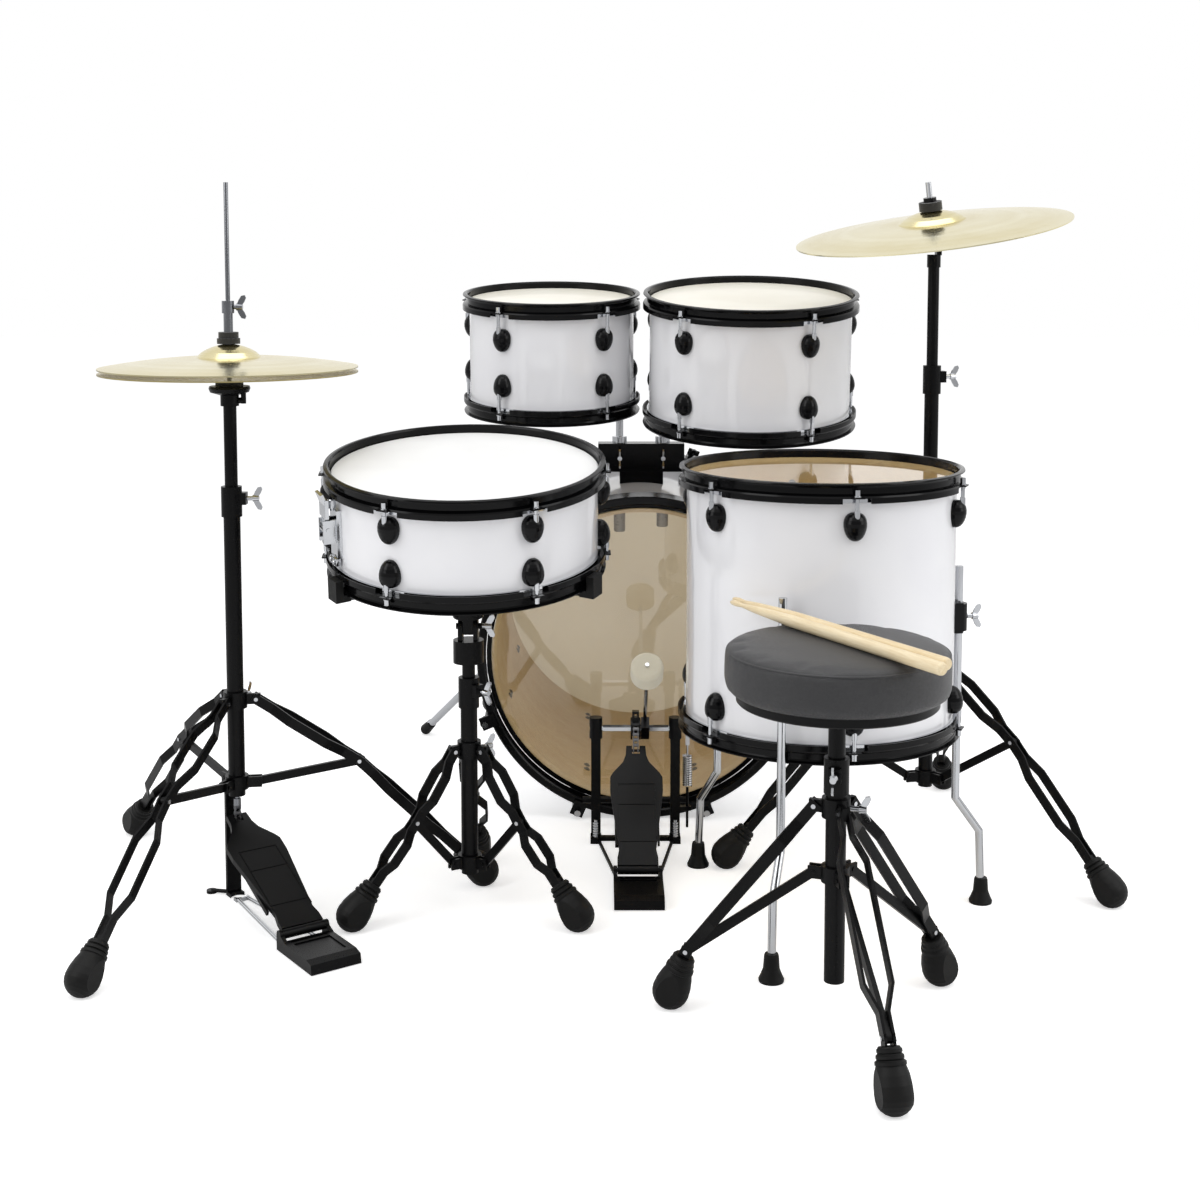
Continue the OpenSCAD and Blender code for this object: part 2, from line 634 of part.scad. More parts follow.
module snare_shell() { color("white") on_snare() shell(snare_d, snare_depth); }
module snare_hoops() { color("black") on_snare() hoop_pair(snare_d, snare_depth, 6, snare_turn_lugs); }
module snare_heads() { color("white") on_snare() head_pair(snare_d, snare_depth); }
module snare_lugs() { color("black") on_snare() lug_set(snare_d, snare_depth, 6, snare_turn_lugs, snare_inset); }

strainer_turn = 205;
strainer_z = -snare_depth/2;
wire_n = 12;
pivot_out = 16;
lever_w = 26;
module at_strainer() { on_snare() rotate(strainer_turn) translate([snare_d/2, 0, strainer_z]) children(); }
module snare_strainer() {
  color("silver") {
    difference() {
      at_strainer() union() {
        translate([-4, -14, -32]) cube([10, 28, 62]);
        for (s = [-1, 1]) translate([4, s*9 - 1.5, -12]) cube([18, 3, 30]);
      }
      on_snare() translate([0, 0, -snare_depth - 1]) cylinder(r = snare_d/2 + seat_gap, h = snare_depth + 2, $fn = 96);
      at_strainer() translate([pivot_out, 20, 6]) rotate([90, 0, 0]) cylinder(r = 2.5 + run_gap, h = 40);
    }
    difference() {
      on_snare() rotate(strainer_turn - 180) translate([snare_d/2 - 4, -16, strainer_z - 26]) cube([12, 32, 40]);
      on_snare() translate([0, 0, -snare_depth - 1]) cylinder(r = snare_d/2 + seat_gap, h = snare_depth + 2, $fn = 96);
    }
    on_snare() rotate(strainer_turn) translate([0, 0, -snare_depth - edge_gap - film_t - 1.6]) {
      for (s = [-1, 1]) translate([s*(snare_d/2 - 22) - 9, -22, 0]) cube([18, 44, 1]);
      for (i = [0:wire_n - 1]) translate([-snare_d/2 + 31, (i - (wire_n - 1)/2)*3.2, 0.5]) rotate([0, 90, 0])
        cylinder(r = 0.5, h = snare_d - 62);
    }
  }
}
// throw-off lever: it pivots between the strainer's ears and swings down
module strainer_lever() {
  color("silver") at_strainer() {
    translate([pivot_out, 11.5, 6]) rotate([90, 0, 0]) cylinder(r = 2.5, h = 23);
    difference() {
      union() {
        translate([pivot_out, 7, 6]) rotate([90, 0, 0]) cylinder(r = 6, h = 14);
        translate([pivot_out - 2, -7, 6]) cube([5, 14, 36]);
        translate([pivot_out - 1, -lever_w/2, 21]) cube([4.6, lever_w, 24]);
        translate([pivot_out + 0.4, -lever_w/2 + 1, 40]) rotate([0, 20, 0]) cube([4, lever_w - 2, 14]);
      }
      translate([pivot_out, 10, 6]) rotate([90, 0, 0]) cylinder(r = 2.5 - 0.01, h = 20);
    }
  }
}

// ---------- tripods ----------
// one loop of a leg in the plane of the strips: two strips that part and meet again
module loop_strips(l, spread, t = strip_t) {
  a = min(0.16*l, 26);
  b = min(0.34*l, 54);
  for (s = [-1, 1]) scale([1, s, 1]) linear_extrude(height = strip_w, center = true) polygon([
    [-5, strip_c - t/2], [a, strip_c - t/2], [b, spread/2 - t/2], [l - b, spread/2 - t/2],
    [l - a, strip_c - t/2], [l + 5, strip_c - t/2], [l + 5, strip_c + t/2], [l - a + 1, strip_c + t/2],
    [l - b + 1, spread/2 + t/2], [b - 1, spread/2 + t/2], [a - 1, strip_c + t/2], [-5, strip_c + t/2]]);
}
// places children with +X along the line from p to q, points in the leg's own [radius, height] plane
module along(p, q) { translate([p[0], 0, p[1]]) rotate([0, -atan2(q[1] - p[1], q[0] - p[0]), 0]) children(); }
module cross_rivet(p, w) { translate([p[0], w/2, p[1]]) rotate([90, 0, 0]) cylinder(r = rivet_r, h = w); }
// the ankle is the point on the leg's axis inside its foot
function ankle(set) = [set[2][0] - 12, 20];
function unit(p, q) = (q - p)/norm(q - p);
module leg(set) {
  top = set[0];
  knee = set[1];
  end = ankle(set);
  last = norm(end - knee) - foot_l*0.62;
  along(top, knee) loop_strips(norm(knee - top), leg_spread);
  along(knee, end) {
    // a little thinner than the upper loop, so that it lies inside it where they cross at the knee
    if (last > 60) loop_strips(last - 5.5, leg_spread, strip_t - 0.4);
    else for (s = [-1, 1]) translate([-5, s*strip_c - strip_t/2 + 0.2, -strip_w/2]) cube([last + 4.5, strip_t - 0.4, strip_w]);
    translate([max(last - 6, 9), -strip_c - strip_t/2 + 0.4, -strip_w/2 + 1])
      cube([28 + min(0, last - 15), 2*strip_c + strip_t - 0.8, strip_w - 2]);
  }
  for (p = [top, knee]) cross_rivet(p, 2*strip_c + strip_t + 3);
}
// flat brace from the lower collar to the knee
module brace(set) {
  low = [set[0][0], set[2][1]];
  knee = set[1];
  l = norm(knee - low);
  difference() {
    along(low, knee) union() {
      translate([0, -ear_t/2 + 0.3, -strip_w/2 + 1]) cube([l, ear_t - 0.6, strip_w - 2]);
      for (x = [0, l]) translate([x, ear_t/2 - 0.3, 0]) rotate([90, 0, 0]) cylinder(r = strip_w/2 - 1, h = ear_t - 0.6);
    }
    for (p = [low, knee]) translate([p[0], 20, p[1]]) rotate([90, 0, 0]) cylinder(r = rivet_r + rivet_gap, h = 40);
  }
}
module at_legs(at, turn) { translate([at[0], at[1], 0]) for (i = [0:2]) rotate(turn + 120*i) children(); }
module tripod_legs(at, set) {
  at_legs(at, set[3]) {
    leg(set);
    brace(set);
  }
}
// collar with three ears; its pins go through the legs or the braces
module collar(set, z, r, h, forked) {
  difference() {
    union() {
      translate([0, 0, z - h/2]) cylinder(r = r + 4.5, h = h);
      for (i = [0:2]) rotate(set[3] + 120*i)
        if (forked) for (s = [-1, 1]) translate([0, s*(ear_t/2 + 1.5) - 1.5, z - 7]) cube([set[0][0] + 6, 3, 14]);
        else translate([0, -ear_t/2, z - 7]) cube([set[0][0] + 6, ear_t, 14]);
    }
    translate([0, 0, z - h]) cylinder(r = r + seat_gap, h = 2*h);
    if (!forked) for (i = [0:2]) rotate(set[3] + 120*i) translate([set[0][0], 20, z]) rotate([90, 0, 0])
      cylinder(r = rivet_r + rivet_gap, h = 40);
    for (i = [0:2]) rotate(set[3] + 120*i) translate([r + 4.6, -strip_c - strip_t - 0.3, z - 10])
      if (!forked) difference() { cube([60, 2*(strip_c + strip_t + 0.3), 20]); translate([-1, strip_c + strip_t + 0.3 - ear_t/2, -1]) cube([62, ear_t, 22]); }
  }
  if (forked) for (i = [0:2]) rotate(set[3] + 120*i) cross_rivet([set[0][0], z], ear_t + 8);
}
module tube(r, z0, z1) { translate([0, 0, z0]) ring(r, r - tube_wall, z1 - z0); }

// one rubber foot, ribbed at the neck, cut flat where it meets the floor, with a pocket for the leg's end
foot_r = 21.5;
foot_neck = 12.4;
function foot_rib(t, r) = [[r, t], [r + 1.2, t + 0.8], [r + 1.4, t + 4], [r + 0.4, t + 4.8]];
module foot(set) {
  end = ankle(set);
  knee = set[1];
  bulb = foot_l*0.62;
  last = norm(end - knee) - bulb;
  difference() {
    intersection() {
      along(knee, end) translate([last, 0, 0]) intersection() {
        rotate([0, 90, 0]) rotate_extrude() polygon(concat(
          [[0, 0], [foot_neck - 1, 0]], foot_rib(1.5, foot_neck - 0.4), foot_rib(7.5, foot_neck + 1), foot_rib(13.5, foot_neck + 2.8),
          [[foot_r - 3, bulb - 19], [foot_r - 0.7, bulb - 9]],
          [for (i = [0:6]) [i == 6 ? 0 : foot_r*cos(15*i), bulb + foot_r*sin(15*i)]]));
        translate([-1, -foot_w/2, -50]) cube([foot_l + 40, foot_w, 100]);
      }
      translate([-far, -far, 0]) cube([2*far, 2*far, far]);
    }
    along(knee, end) translate([last - 10, -strip_c - strip_t/2 - seat_gap, -strip_w/2 + 1 - seat_gap])
      cube([10 + 22 + seat_gap, 2*strip_c + strip_t + 2*seat_gap, strip_w - 2 + 2*seat_gap]);
  }
}
module tripod_feet() {
  color("black") {
    at_legs(hihat_at, hihat_turn) foot(hihat_legset);
    at_legs(crash_at, crash_turn) foot(crash_legset);
    at_legs(snare_at, snare_turn) foot(snare_legset);
    at_legs(throne_at, throne_turn) foot(throne_legset);
  }
}
// lower tube with its two leg collars and, on top, the height clamp
module base_tube(at, set, bottom, clamp_z, inner_r, r, wing_turn) {
  translate([at[0], at[1], 0]) {
    tube(r, bottom, clamp_z - 14);
    collar(set, set[0][1], r, 22, false);
    collar(set, set[2][1], r, 18, true);
    difference() {
      union() {
        translate([0, 0, clamp_z - 24]) cylinder(r = r + 2.6, h = 40);
        rotate(wing_turn) translate([0, -7, clamp_z - 8]) cube([r + 9, 14, 16]);
      }
      translate([0, 0, clamp_z - 25]) cylinder(r = r + seat_gap, h = 11 + seat_gap);
      translate([0, 0, clamp_z - 26]) cylinder(r = inner_r + slide_gap, h = 60);
    }
  }
  translate([at[0], at[1], 0]) {
    rotate(wing_turn) translate([r + 9 + seat_gap, 0, clamp_z]) wing_bolt(8);
    rotate(set[3] + 60) translate([r + 4.5 + seat_gap, 0, set[0][1]]) wing_bolt(10);
  }
}

// ---------- hi-hat ----------
lower_r = lower_tube_d/2;
upper_r = upper_tube_d/2;
module at_hihat() { translate([hihat_at[0], hihat_at[1], 0]) children(); }
// pedal frame of reference: +X from the stand's axis to the heel
module at_hh_pedal() { at_hihat() rotate(pedal_turn) children(); }
heel_h = 15;
// heel plate: hinge at the origin, the plate runs along +X; its ears hold the footboard's barrel
module heel_plate(l, w) {
  difference() {
    union() {
      translate([hinge_r + 1.5, w/2, 1]) rotate([90, 0, 0]) linear_extrude(height = w) polygon([
        [-4, 0], [-4, heel_h - 9], [0, heel_h - 3], [3, heel_h], [l - 22, heel_h], [l - 10, heel_h - 3], [l - 8, 0]]);
      for (s = [-1, 1]) translate([0, s*(w/2 - hinge_ear/2) + hinge_ear/2, 0]) rotate([90, 0, 0]) {
        linear_extrude(height = hinge_ear) polygon([
          [-hinge_r, 1], [-hinge_r, hinge_z], [hinge_r, hinge_z], [hinge_r + 12, heel_h + 1], [hinge_r + 12, 1]]);
        translate([0, hinge_z, 0]) cylinder(r = hinge_r, h = hinge_ear);
      }
    }
    translate([0, w, hinge_z]) rotate([90, 0, 0]) cylinder(r = hinge_pin + run_gap, h = 2*w);
    translate([24, -w/2 + 9, heel_h - 0.6]) cube([l - 46, w - 18, 4]);
    translate([15, -w/2 + 9, heel_h - 1.6]) cube([4, w - 18, 4]);
  }
  translate([10, -w/2 + 6, 0]) cube([l - 16, w - 12, 1]);
}
// footboard: hinge at the origin, the board runs along -X, turned up by its slope
module footboard(l, w) {
  toe = 0.37*w;
  ball = 0.27*l;
  barrel = w - 8 - 2*hinge_ear - 0.8;
  difference() {
    union() {
      translate([0, 0, -1]) linear_extrude(height = board_t) polygon([
        [-4, -barrel/2], [-16, -barrel/2], [-30, -w/2 + 12], [-l + ball + 22, -w/2], [-l + ball, -w/2], [-l + ball - 8, -w/2 + 4],
        [-l + ball*0.52, -toe/2 - 5], [-l + ball*0.3, -toe/2 - 1], [-l, -toe/2], [-l, toe/2], [-l + ball*0.3, toe/2 + 1],
        [-l + ball*0.52, toe/2 + 5], [-l + ball - 8, w/2 - 4], [-l + ball, w/2], [-l + ball + 22, w/2], [-30, w/2 - 12],
        [-16, barrel/2], [-4, barrel/2]]);
      rotate([90, 0, 0]) translate([0, 0, -barrel/2]) cylinder(r = hinge_r, h = barrel);
      translate([-l + toe_end, toe/2 - 2, pin_lift]) rotate([90, 0, 0]) cylinder(r = toe_pin, h = toe - 4);
      for (s = [-1, 1]) translate([-l + ball + 4, s*(w/2 - 8) - 1.5, -6]) cube([l - ball - 46, 3, 6]);
    }
    rotate([90, 0, 0]) translate([0, 0, -w]) cylinder(r = hinge_pin + seat_gap, h = 2*w);
    // slot between the two prongs for the chain
    difference() {
      translate([-l - 1, -5.5, -10]) cube([15, 11, 30]);
      translate([-l + toe_end, 10, pin_lift]) rotate([90, 0, 0]) cylinder(r = toe_pin, h = 20);
    }
    // grooves pressed into the tread
    for (x = [0.33, 0.50, 0.80]) translate([-l*(1 - x) - 1, -w/2 + 11, board_t - 1.8]) cube([1.6, w - 22, 3]);
    for (s = [-1, 1]) translate([-l*0.66, s*(w/2 - 12) - 0.7, board_t - 1.8]) cube([l*0.5, 1.4, 3]);
  }
}
module hihat_tube() {
  color("black") {
    base_tube(hihat_at, hihat_legset, 142, hihat_clamp_z, upper_r, lower_r, 0);
    at_hh_pedal() {
      // bent frame plate behind the chain, down to the floor
      difference() {
        union() {
          translate([-20, -10, 8]) cube([5, 20, 146]);
          translate([-20, -10, 0]) cube([34, 20, 5]);
          translate([-20, -10, 0]) cube([5, 20, 10]);
          translate([-15, -8, 142]) cube([6, 16, 12]);
        }
        cylinder(r = lower_r + 2*seat_gap, h = hihat_clamp_z);
      }
      for (s = [-1, 1]) bar([14 + seat_gap, s*7, 3.2], [hh_hinge - 1, s*24, 3.6], 2.5);
      translate([hh_hinge, 0, 0]) heel_plate(hh_heel, board_w - 8);
      // folded anchor spur beside the post's foot
      bar([-17, -5, 4.6], [-40, -22, 3.4], 2.6);
      translate([-40, -22, 0]) cylinder(r = 7, h = 4);
    }
  }
}
module hihat_legs() { color("black") tripod_legs(hihat_at, hihat_legset); }
module at_hh_board() { at_hh_pedal() translate([hh_hinge, 0, hinge_z]) rotate([0, hh_slope, 0]) children(); }
module hihat_footboard() {
  color("dimgray") at_hh_board() {
    footboard(hh_len, board_w);
    rotate([90, 0, 0]) translate([0, 0, -board_w/2 + 4]) cylinder(r = hinge_pin, h = board_w - 8);
  }
}
// a chain of n links that stands on a pin at the origin
module chain(n) {
  difference() {
    for (s = [-1, 1]) translate([-chain_w/2, s*3.2 - 0.8, -3]) cube([chain_w, 1.6, n*chain_pitch + 6]);
    rotate([90, 0, 0]) translate([0, 0, -10]) cylinder(r = toe_pin + run_gap, h = 20);
    for (i = [1:n]) for (s = [-1, 1]) translate([s*chain_w/2, 0, (i - 0.5)*chain_pitch]) rotate([90, 0, 0])
      translate([0, 0, -10]) cylinder(r = 1.8, h = 20);
  }
  for (i = [1:n]) translate([0, 0, i*chain_pitch]) rotate([90, 0, 0]) {
    translate([0, 0, -2.45]) cylinder(r = 2.6, h = 4.9);
    translate([0, 0, -4.6]) cylinder(r = 1.2, h = 9.2);
  }
}
module hihat_chain() { color("gray") at_hh_pedal() translate([0, 0, hh_pin_z]) chain(hh_chain_n); }
module hihat_upper_tube() {
  color("black") at_hihat() {
    tube(upper_r, hihat_clamp_z - 110, hihat_seat_z - 12);
    // seat cup, its felt and the tilter screw
    difference() {
      rotate_extrude() polygon([
        [rod_r + 1.4, hihat_seat_z - 22], [upper_r + 3.5, hihat_seat_z - 22], [upper_r + 3.5, hihat_seat_z - 8],
        [25, hihat_seat_z - 4], [27, hihat_seat_z + 1], [26, hihat_seat_z + 4], [rod_r + 1.4, hihat_seat_z + 4]]);
      translate([0, 0, hihat_seat_z - 30]) cylinder(r = upper_r + seat_gap, h = 18 + seat_gap);
    }
    translate([0, 0, hihat_seat_z + 4 + seat_gap]) ring(18, rod_r + 1.4, 5);
  }
  color("silver") at_hihat() translate([upper_r + 3.5 + seat_gap, 0, hihat_seat_z - 15]) {
    rotate([0, 90, 0]) cylinder(r = 4, h = 6);
    translate([6, 0, -4]) cylinder(r = 3.4, h = 16);
  }
}
bell_top = hihat_z + bell_h;
rod_bare_z = bell_top + 58;
module hihat_rod() {
  color("silver") at_hihat() {
    // the rod's bare end is a hair thicker than its stretch inside the tube and the clutch
    translate([0, 0, hh_rod_low]) cylinder(r = rod_low_r, h = rod_bare_z - hh_rod_low);
    translate([0, 0, rod_bare_z]) cylinder(r = rod_r, h = hihat_rod_z - rod_bare_z);
    translate([0, 0, hh_rod_low]) cylinder(r = 5, h = 9);
    // clutch: threaded sleeve, felts, nuts and the wing screw
    translate([0, 0, bell_top - 19]) ring(6, rod_low_r + seat_gap, 59);
    translate([0, 0, bell_top + 40 + seat_gap]) ring(8, rod_low_r + seat_gap, 16);
    translate([8 + seat_gap, 0, bell_top + 48]) wing_bolt(3);
  }
  color("black") at_hihat() {
    translate([0, 0, bell_top + 0.3]) ring(15, 6 + seat_gap, 7);
    translate([0, 0, bell_top + 7.3 + seat_gap]) ring(13, 6 + seat_gap, 8);
    translate([0, 0, bell_top - cymbal_t - 8.3]) ring(15, 6 + seat_gap, 6);
    translate([0, 0, bell_top - cymbal_t - 8.3 - 7]) ring(11, 6 + seat_gap, 7 - seat_gap);
  }
}
// bowed cymbal with its bell, rim at z = 0, bell up
function bow_z(x, r, h, bell_r, bell) = x < bell_r
  ? h - bell + bell*pow(cos(90*x/bell_r), 0.7)
  : (h - bell)*(1 - pow((x - bell_r)/(r - bell_r), 1.7));
module cymbal(d, h, bell_r, bell, bore) {
  r = d/2;
  xs = concat([for (i = [0:4]) bore + (bell_r - bore)*i/5], [for (i = [0:6]) bell_r + (r - bell_r)*i/6]);
  top = [for (x = xs) [x, bow_z(x, r, h, bell_r, bell)]];
  under = [for (i = [len(xs) - 1:-1:0]) [xs[i], bow_z(xs[i], r, h, bell_r, bell) - cymbal_t]];
  rotate_extrude($fn = 128) polygon(concat(top, under));
}
module hihat_top_cymbal() { color("khaki") at_hihat() translate([0, 0, hihat_z]) cymbal(hihat_d, bell_h, 42, 17, 6.8); }
module hihat_bottom_cymbal() {
  color("khaki") at_hihat() translate([0, 0, hihat_z - hihat_gap]) mirror([0, 0, 1]) cymbal(hihat_d, bell_h - 18.6 + 0, 42, 8, 6.8);
}

// ---------- bass pedal ----------
module at_pedal() { translate([pedal_at[0], 0, 0]) children(); }
post_y = pedal_at[1];
module pedal_frame() {
  color("black") at_pedal() {
    difference() {
      union() {
        for (s = [-1, 1]) translate([s*post_gap/2, 0, 0]) {
          translate([-post_w/2, post_y - 6, 0]) cube([post_w, 12, axle_z - 10]);
          translate([0, post_y, axle_z - 14]) cylinder(r = post_r, h = 31);
          translate([-post_w/2 - 1, post_y - 17, 0]) cube([post_w + 2, 23, 9]);
        }
        translate([-post_gap/2, post_y - 4, 0]) cube([post_gap, 10, 6]);
        translate([-30, -12, 0]) cube([60, bass_y + 12 - 4, 4]);
        translate([-30, bass_y - 22, 0]) cube([60, 18, 34]);
        translate([-24, bass_y - 22, bass_hoop_t + 6]) cube([48, 36, 12]);
        translate([-post_gap/2 - 20, bass_y - 26, 42]) rotate([0, 90, 0]) cylinder(r = 5, h = post_gap + 40);
        translate([-24, bass_y - 30, 28]) cube([48, 12, 16]);
      }
      translate([-post_gap, post_y, axle_z]) rotate([0, 90, 0]) cylinder(r = journal_r + run_gap, h = 2*post_gap);
      on_bass_cut();
    }
    translate([0, bd_hinge, 0]) rotate(-90) heel_plate(bd_heel, board_w - 8);
    for (s = [-1, 1]) bar([s*27, bd_hinge + 3, 4], [s*(post_gap/2 - 5), post_y - 17 - seat_gap, 4], 2.5);
    // spring arm on the right post
    translate([post_gap/2 + post_w/2 + seat_gap, post_y - 5, 46]) cube([16, 10, 6]);
  }
  color("silver") at_pedal() {
    for (s = [-1, 1]) translate([s*post_gap/2, post_y - 11.5, 9 + seat_gap]) {
      cylinder(r = 2.6, h = 26);
      for (i = [0:5]) translate([0, 0, 1 + 3.8*i]) cylinder(r = 4.4, h = 2.4);
    }
    translate([post_gap/2 + post_w/2 + 11, post_y, 20]) cylinder(r = 2, h = 60.1);
  }
}
// room for the wooden hoop in the clamp
module on_bass_cut() { translate([-pedal_at[0], 0, 0]) on_bass() translate([0, 0, -bass_edge - seat_gap]) ring(bass_hoop_r + 1, bass_hoop_r - bass_hoop_t - seat_gap, bass_hoop_w); }
module at_bd_board() { at_pedal() translate([0, bd_hinge, hinge_z]) rotate(-90) rotate([0, bd_slope, 0]) children(); }
module pedal_footboard() {
  color("dimgray") at_bd_board() {
    footboard(bd_len, board_w);
    rotate([90, 0, 0]) translate([0, 0, -board_w/2 + 4]) cylinder(r = hinge_pin, h = board_w - 8);
  }
}
crank_x = post_gap/2 + post_w/2 + 11;
module at_axle() { at_pedal() translate([0, post_y, axle_z]) children(); }
module pedal_axle() {
  color("silver") at_axle() {
    // hexagonal middle, round journals, crank for the spring
    rotate([0, 90, 0]) {
      translate([0, 0, -post_gap/2 + post_r + 0.5]) cylinder(r = axle_r, h = post_gap - 2*post_r - 1, $fn = 6);
      translate([0, 0, -post_gap/2 - 8]) cylinder(r = journal_r, h = post_gap + 8 + 24);
    }
    translate([crank_x - 3, -4, -24]) cube([6, 8, 30]);
  }
  color("black") at_axle() {
    // cam with the chain's seat, and the beater's clamp beside it
    difference() {
      rotate([0, 90, 0]) translate([0, 0, -7.2]) cylinder(r = cam_r, h = 14.4);
      rotate([0, 90, 0]) translate([0, 0, -20]) cylinder(r = axle_r + seat_gap, h = 40, $fn = 6);
      rotate([0, 90, 0]) translate([0, 0, -4.9]) ring(cam_r + 5, cam_r - 5, 9.8);
    }
    difference() {
      rotate([beater_lean, 0, 0]) translate([7.8, -9, -16]) cube([12, 18, 34]);
      rotate([0, 90, 0]) cylinder(r = axle_r + seat_gap, h = 40, $fn = 6);
      rotate([beater_lean, 0, 0]) translate([beater_x, beater_off, -24]) cylinder(r = beater_rod + seat_gap, h = 60);
    }
  }
  color("silver") at_axle() rotate([beater_lean, 0, 0]) {
    translate([beater_x, beater_off, -22]) cylinder(r = beater_rod, h = beater_len + 22 + beater_h/2 + 3);
  }
  color("silver") at_axle() difference() {
    translate([-5, -5, 7]) cube([10, 11, 19]);
    translate([0, 0, 20]) rotate([90, 0, 0]) translate([0, 0, -10]) cylinder(r = 2.5, h = 20);
  }
}
module pedal_beater() {
  color("beige") at_axle() rotate([beater_lean, 0, 0]) translate([beater_x, beater_off, beater_len - beater_h/2]) difference() {
    rotate_extrude() polygon(concat(
      [for (i = [0:4]) [beater_d/2 - 6 + 6*sin(22.5*i), 6 - 6*cos(22.5*i)]],
      [for (i = [0:4]) [beater_d/2 - 6 + 6*cos(22.5*i), beater_h - 6 + 6*sin(22.5*i)]],
      [[beater_rod + seat_gap, beater_h], [beater_rod + seat_gap, 0]]));
    translate([0, 0, -1]) cylinder(r = beater_rod + seat_gap, h = 1);
  }
}
module pedal_chain() { color("gray") at_pedal() translate([0, bd_chain_y, bd_pin_z]) rotate(90) chain(bd_chain_n); }
// return spring between the crank and the post's rod
module pedal_spring() {
  color("silver") at_pedal() translate([crank_x, post_y, 0]) {
    for (i = [0:11]) translate([0, 0, 82 + 4.1*i]) rotate_extrude() translate([6, 0]) circle(r = 1.6, $fn = 8);
    for (i = [0:10]) translate([0, 0, 82 + 4.1*i]) rotate(40*i) translate([6, 0, 0]) cylinder(r = 1.2, h = 4.1);
    translate([-6, 0, 82 + 4.1*11]) rotate([0, 90, 0]) cylinder(r = 1.4, h = 12);
    translate([0, 0, 82 + 4.1*11]) cylinder(r = 1.6, h = axle_z - 24 - 0.3 - (82 + 4.1*11));
  }
}

// ---------- snare stand ----------
snare_clamp_z = 293;
snare_tube_r = lower_r;
snare_post_r = upper_r;
module snare_tube() { color("black") base_tube(snare_at, snare_legset, 46, snare_clamp_z, snare_post_r, snare_tube_r, -40); }
module snare_legs() { color("black") tripod_legs(snare_at, snare_legset); }
module snare_post() {
  color("black") translate([snare_at[0], snare_at[1], 0]) {
    difference() {
      union() {
        translate([0, 0, snare_clamp_z - 90]) cylinder(r = snare_post_r, h = ball_z - 20 - (snare_clamp_z - 90));
        translate([0, 0, ball_z - 48]) cylinder(r = 20, h = 30);
        for (s = [-1, 1]) translate([s*10 - 3, -12, ball_z - 20]) cube([6, 24, 20]);
        for (s = [-1, 1]) translate([s*10 - 3, 0, ball_z]) rotate([0, 90, 0]) cylinder(r = 12, h = 6);
      }
      translate([0, 0, snare_clamp_z - 100]) cylinder(r = snare_post_r - tube_wall, h = ball_z - 60 - (snare_clamp_z - 100));
      translate([-30, 0, ball_z]) rotate([0, 90, 0]) cylinder(r = 4 + run_gap, h = 60);
    }
  }
}
basket_turns = [-27, 93, 213];
grip_r = snare_d/2 + flange_out;
module snare_basket() {
  color("black") on_basket() {
    // hub on the tilter's pin
    difference() {
      union() {
        translate([-6.6, -9, -9]) cube([13.2, 18, 24]);
        translate([0, 0, 14]) cylinder(r = 20, h = 12);
      }
      translate([-30, 0, 0]) rotate([0, 90, 0]) cylinder(r = 4, h = 60);
    }
    translate([-16, 0, 0]) rotate([0, 90, 0]) cylinder(r = 4 - 0.01, h = 34);
    for (a = basket_turns) rotate(a) {
      difference() {
        union() {
          bar_flat([20.2, 20], [74, 64], 12, 5);
          bar_flat([74, 64], [grip_r - 4, ball_drop - 7], 11.4, 4.6);
        }
      }
      // rubber grip round the rim
      difference() {
        translate([grip_r - 10, -12, ball_drop - 9]) cube([20, 24, 28]);
        translate([0, 0, ball_drop - 0.3]) cylinder(r = grip_r + 0.3, h = 60, $fn = 96);
        translate([grip_r - 30, -6 - seat_gap, ball_drop - 20]) cube([30, 12 + 2*seat_gap, 18.6]);
      }
    }
  }
  color("silver") on_basket() translate([18.2, 0, 0]) rotate([0, 0, 0]) wing_bolt(4);
}
// flat bar of width w and thickness t between two points in the [radius, height] plane
module bar_flat(p, q, w, t) { along(p, q) translate([-t/3, -w/2, -t/2]) cube([norm(q - p) + 2*t/3, w, t]); }

// ---------- crash stand ----------
crash_tube_r = lower_r - 1;
crash_post_r = upper_r - 0.6;
stem_r = 4;
stem_low_r = stem_r - 0.2;
stem_bare = 20;
crash_knuckle = 34;
knuckle_z = crash_z - 46;
module crash_tube() { color("black") base_tube(crash_at, crash_legset, 96, crash_clamp_z, crash_post_r, crash_tube_r, 10); }
module crash_legs() { color("black") tripod_legs(crash_at, crash_legset); }
module crash_post() {
  color("black") translate([crash_at[0], crash_at[1], 0]) difference() {
    union() {
      translate([0, 0, crash_clamp_z - 120]) cylinder(r = crash_post_r, h = knuckle_z - 20 - (crash_clamp_z - 120));
      translate([0, 0, knuckle_z - 34]) cylinder(r = crash_post_r + 1.6, h = 18);
      translate([2.5, -8, knuckle_z - 17]) cube([7, 16, 17]);
      translate([2.5, 0, knuckle_z]) rotate([0, 90, 0]) cylinder(r = 12, h = 7);
    }
    translate([0, 0, crash_clamp_z - 130]) cylinder(r = crash_post_r - tube_wall, h = knuckle_z - 40 - (crash_clamp_z - 130));
    translate([-20, 0, knuckle_z]) rotate([0, 90, 0]) cylinder(r = 3.5 + run_gap, h = 40);
  }
}
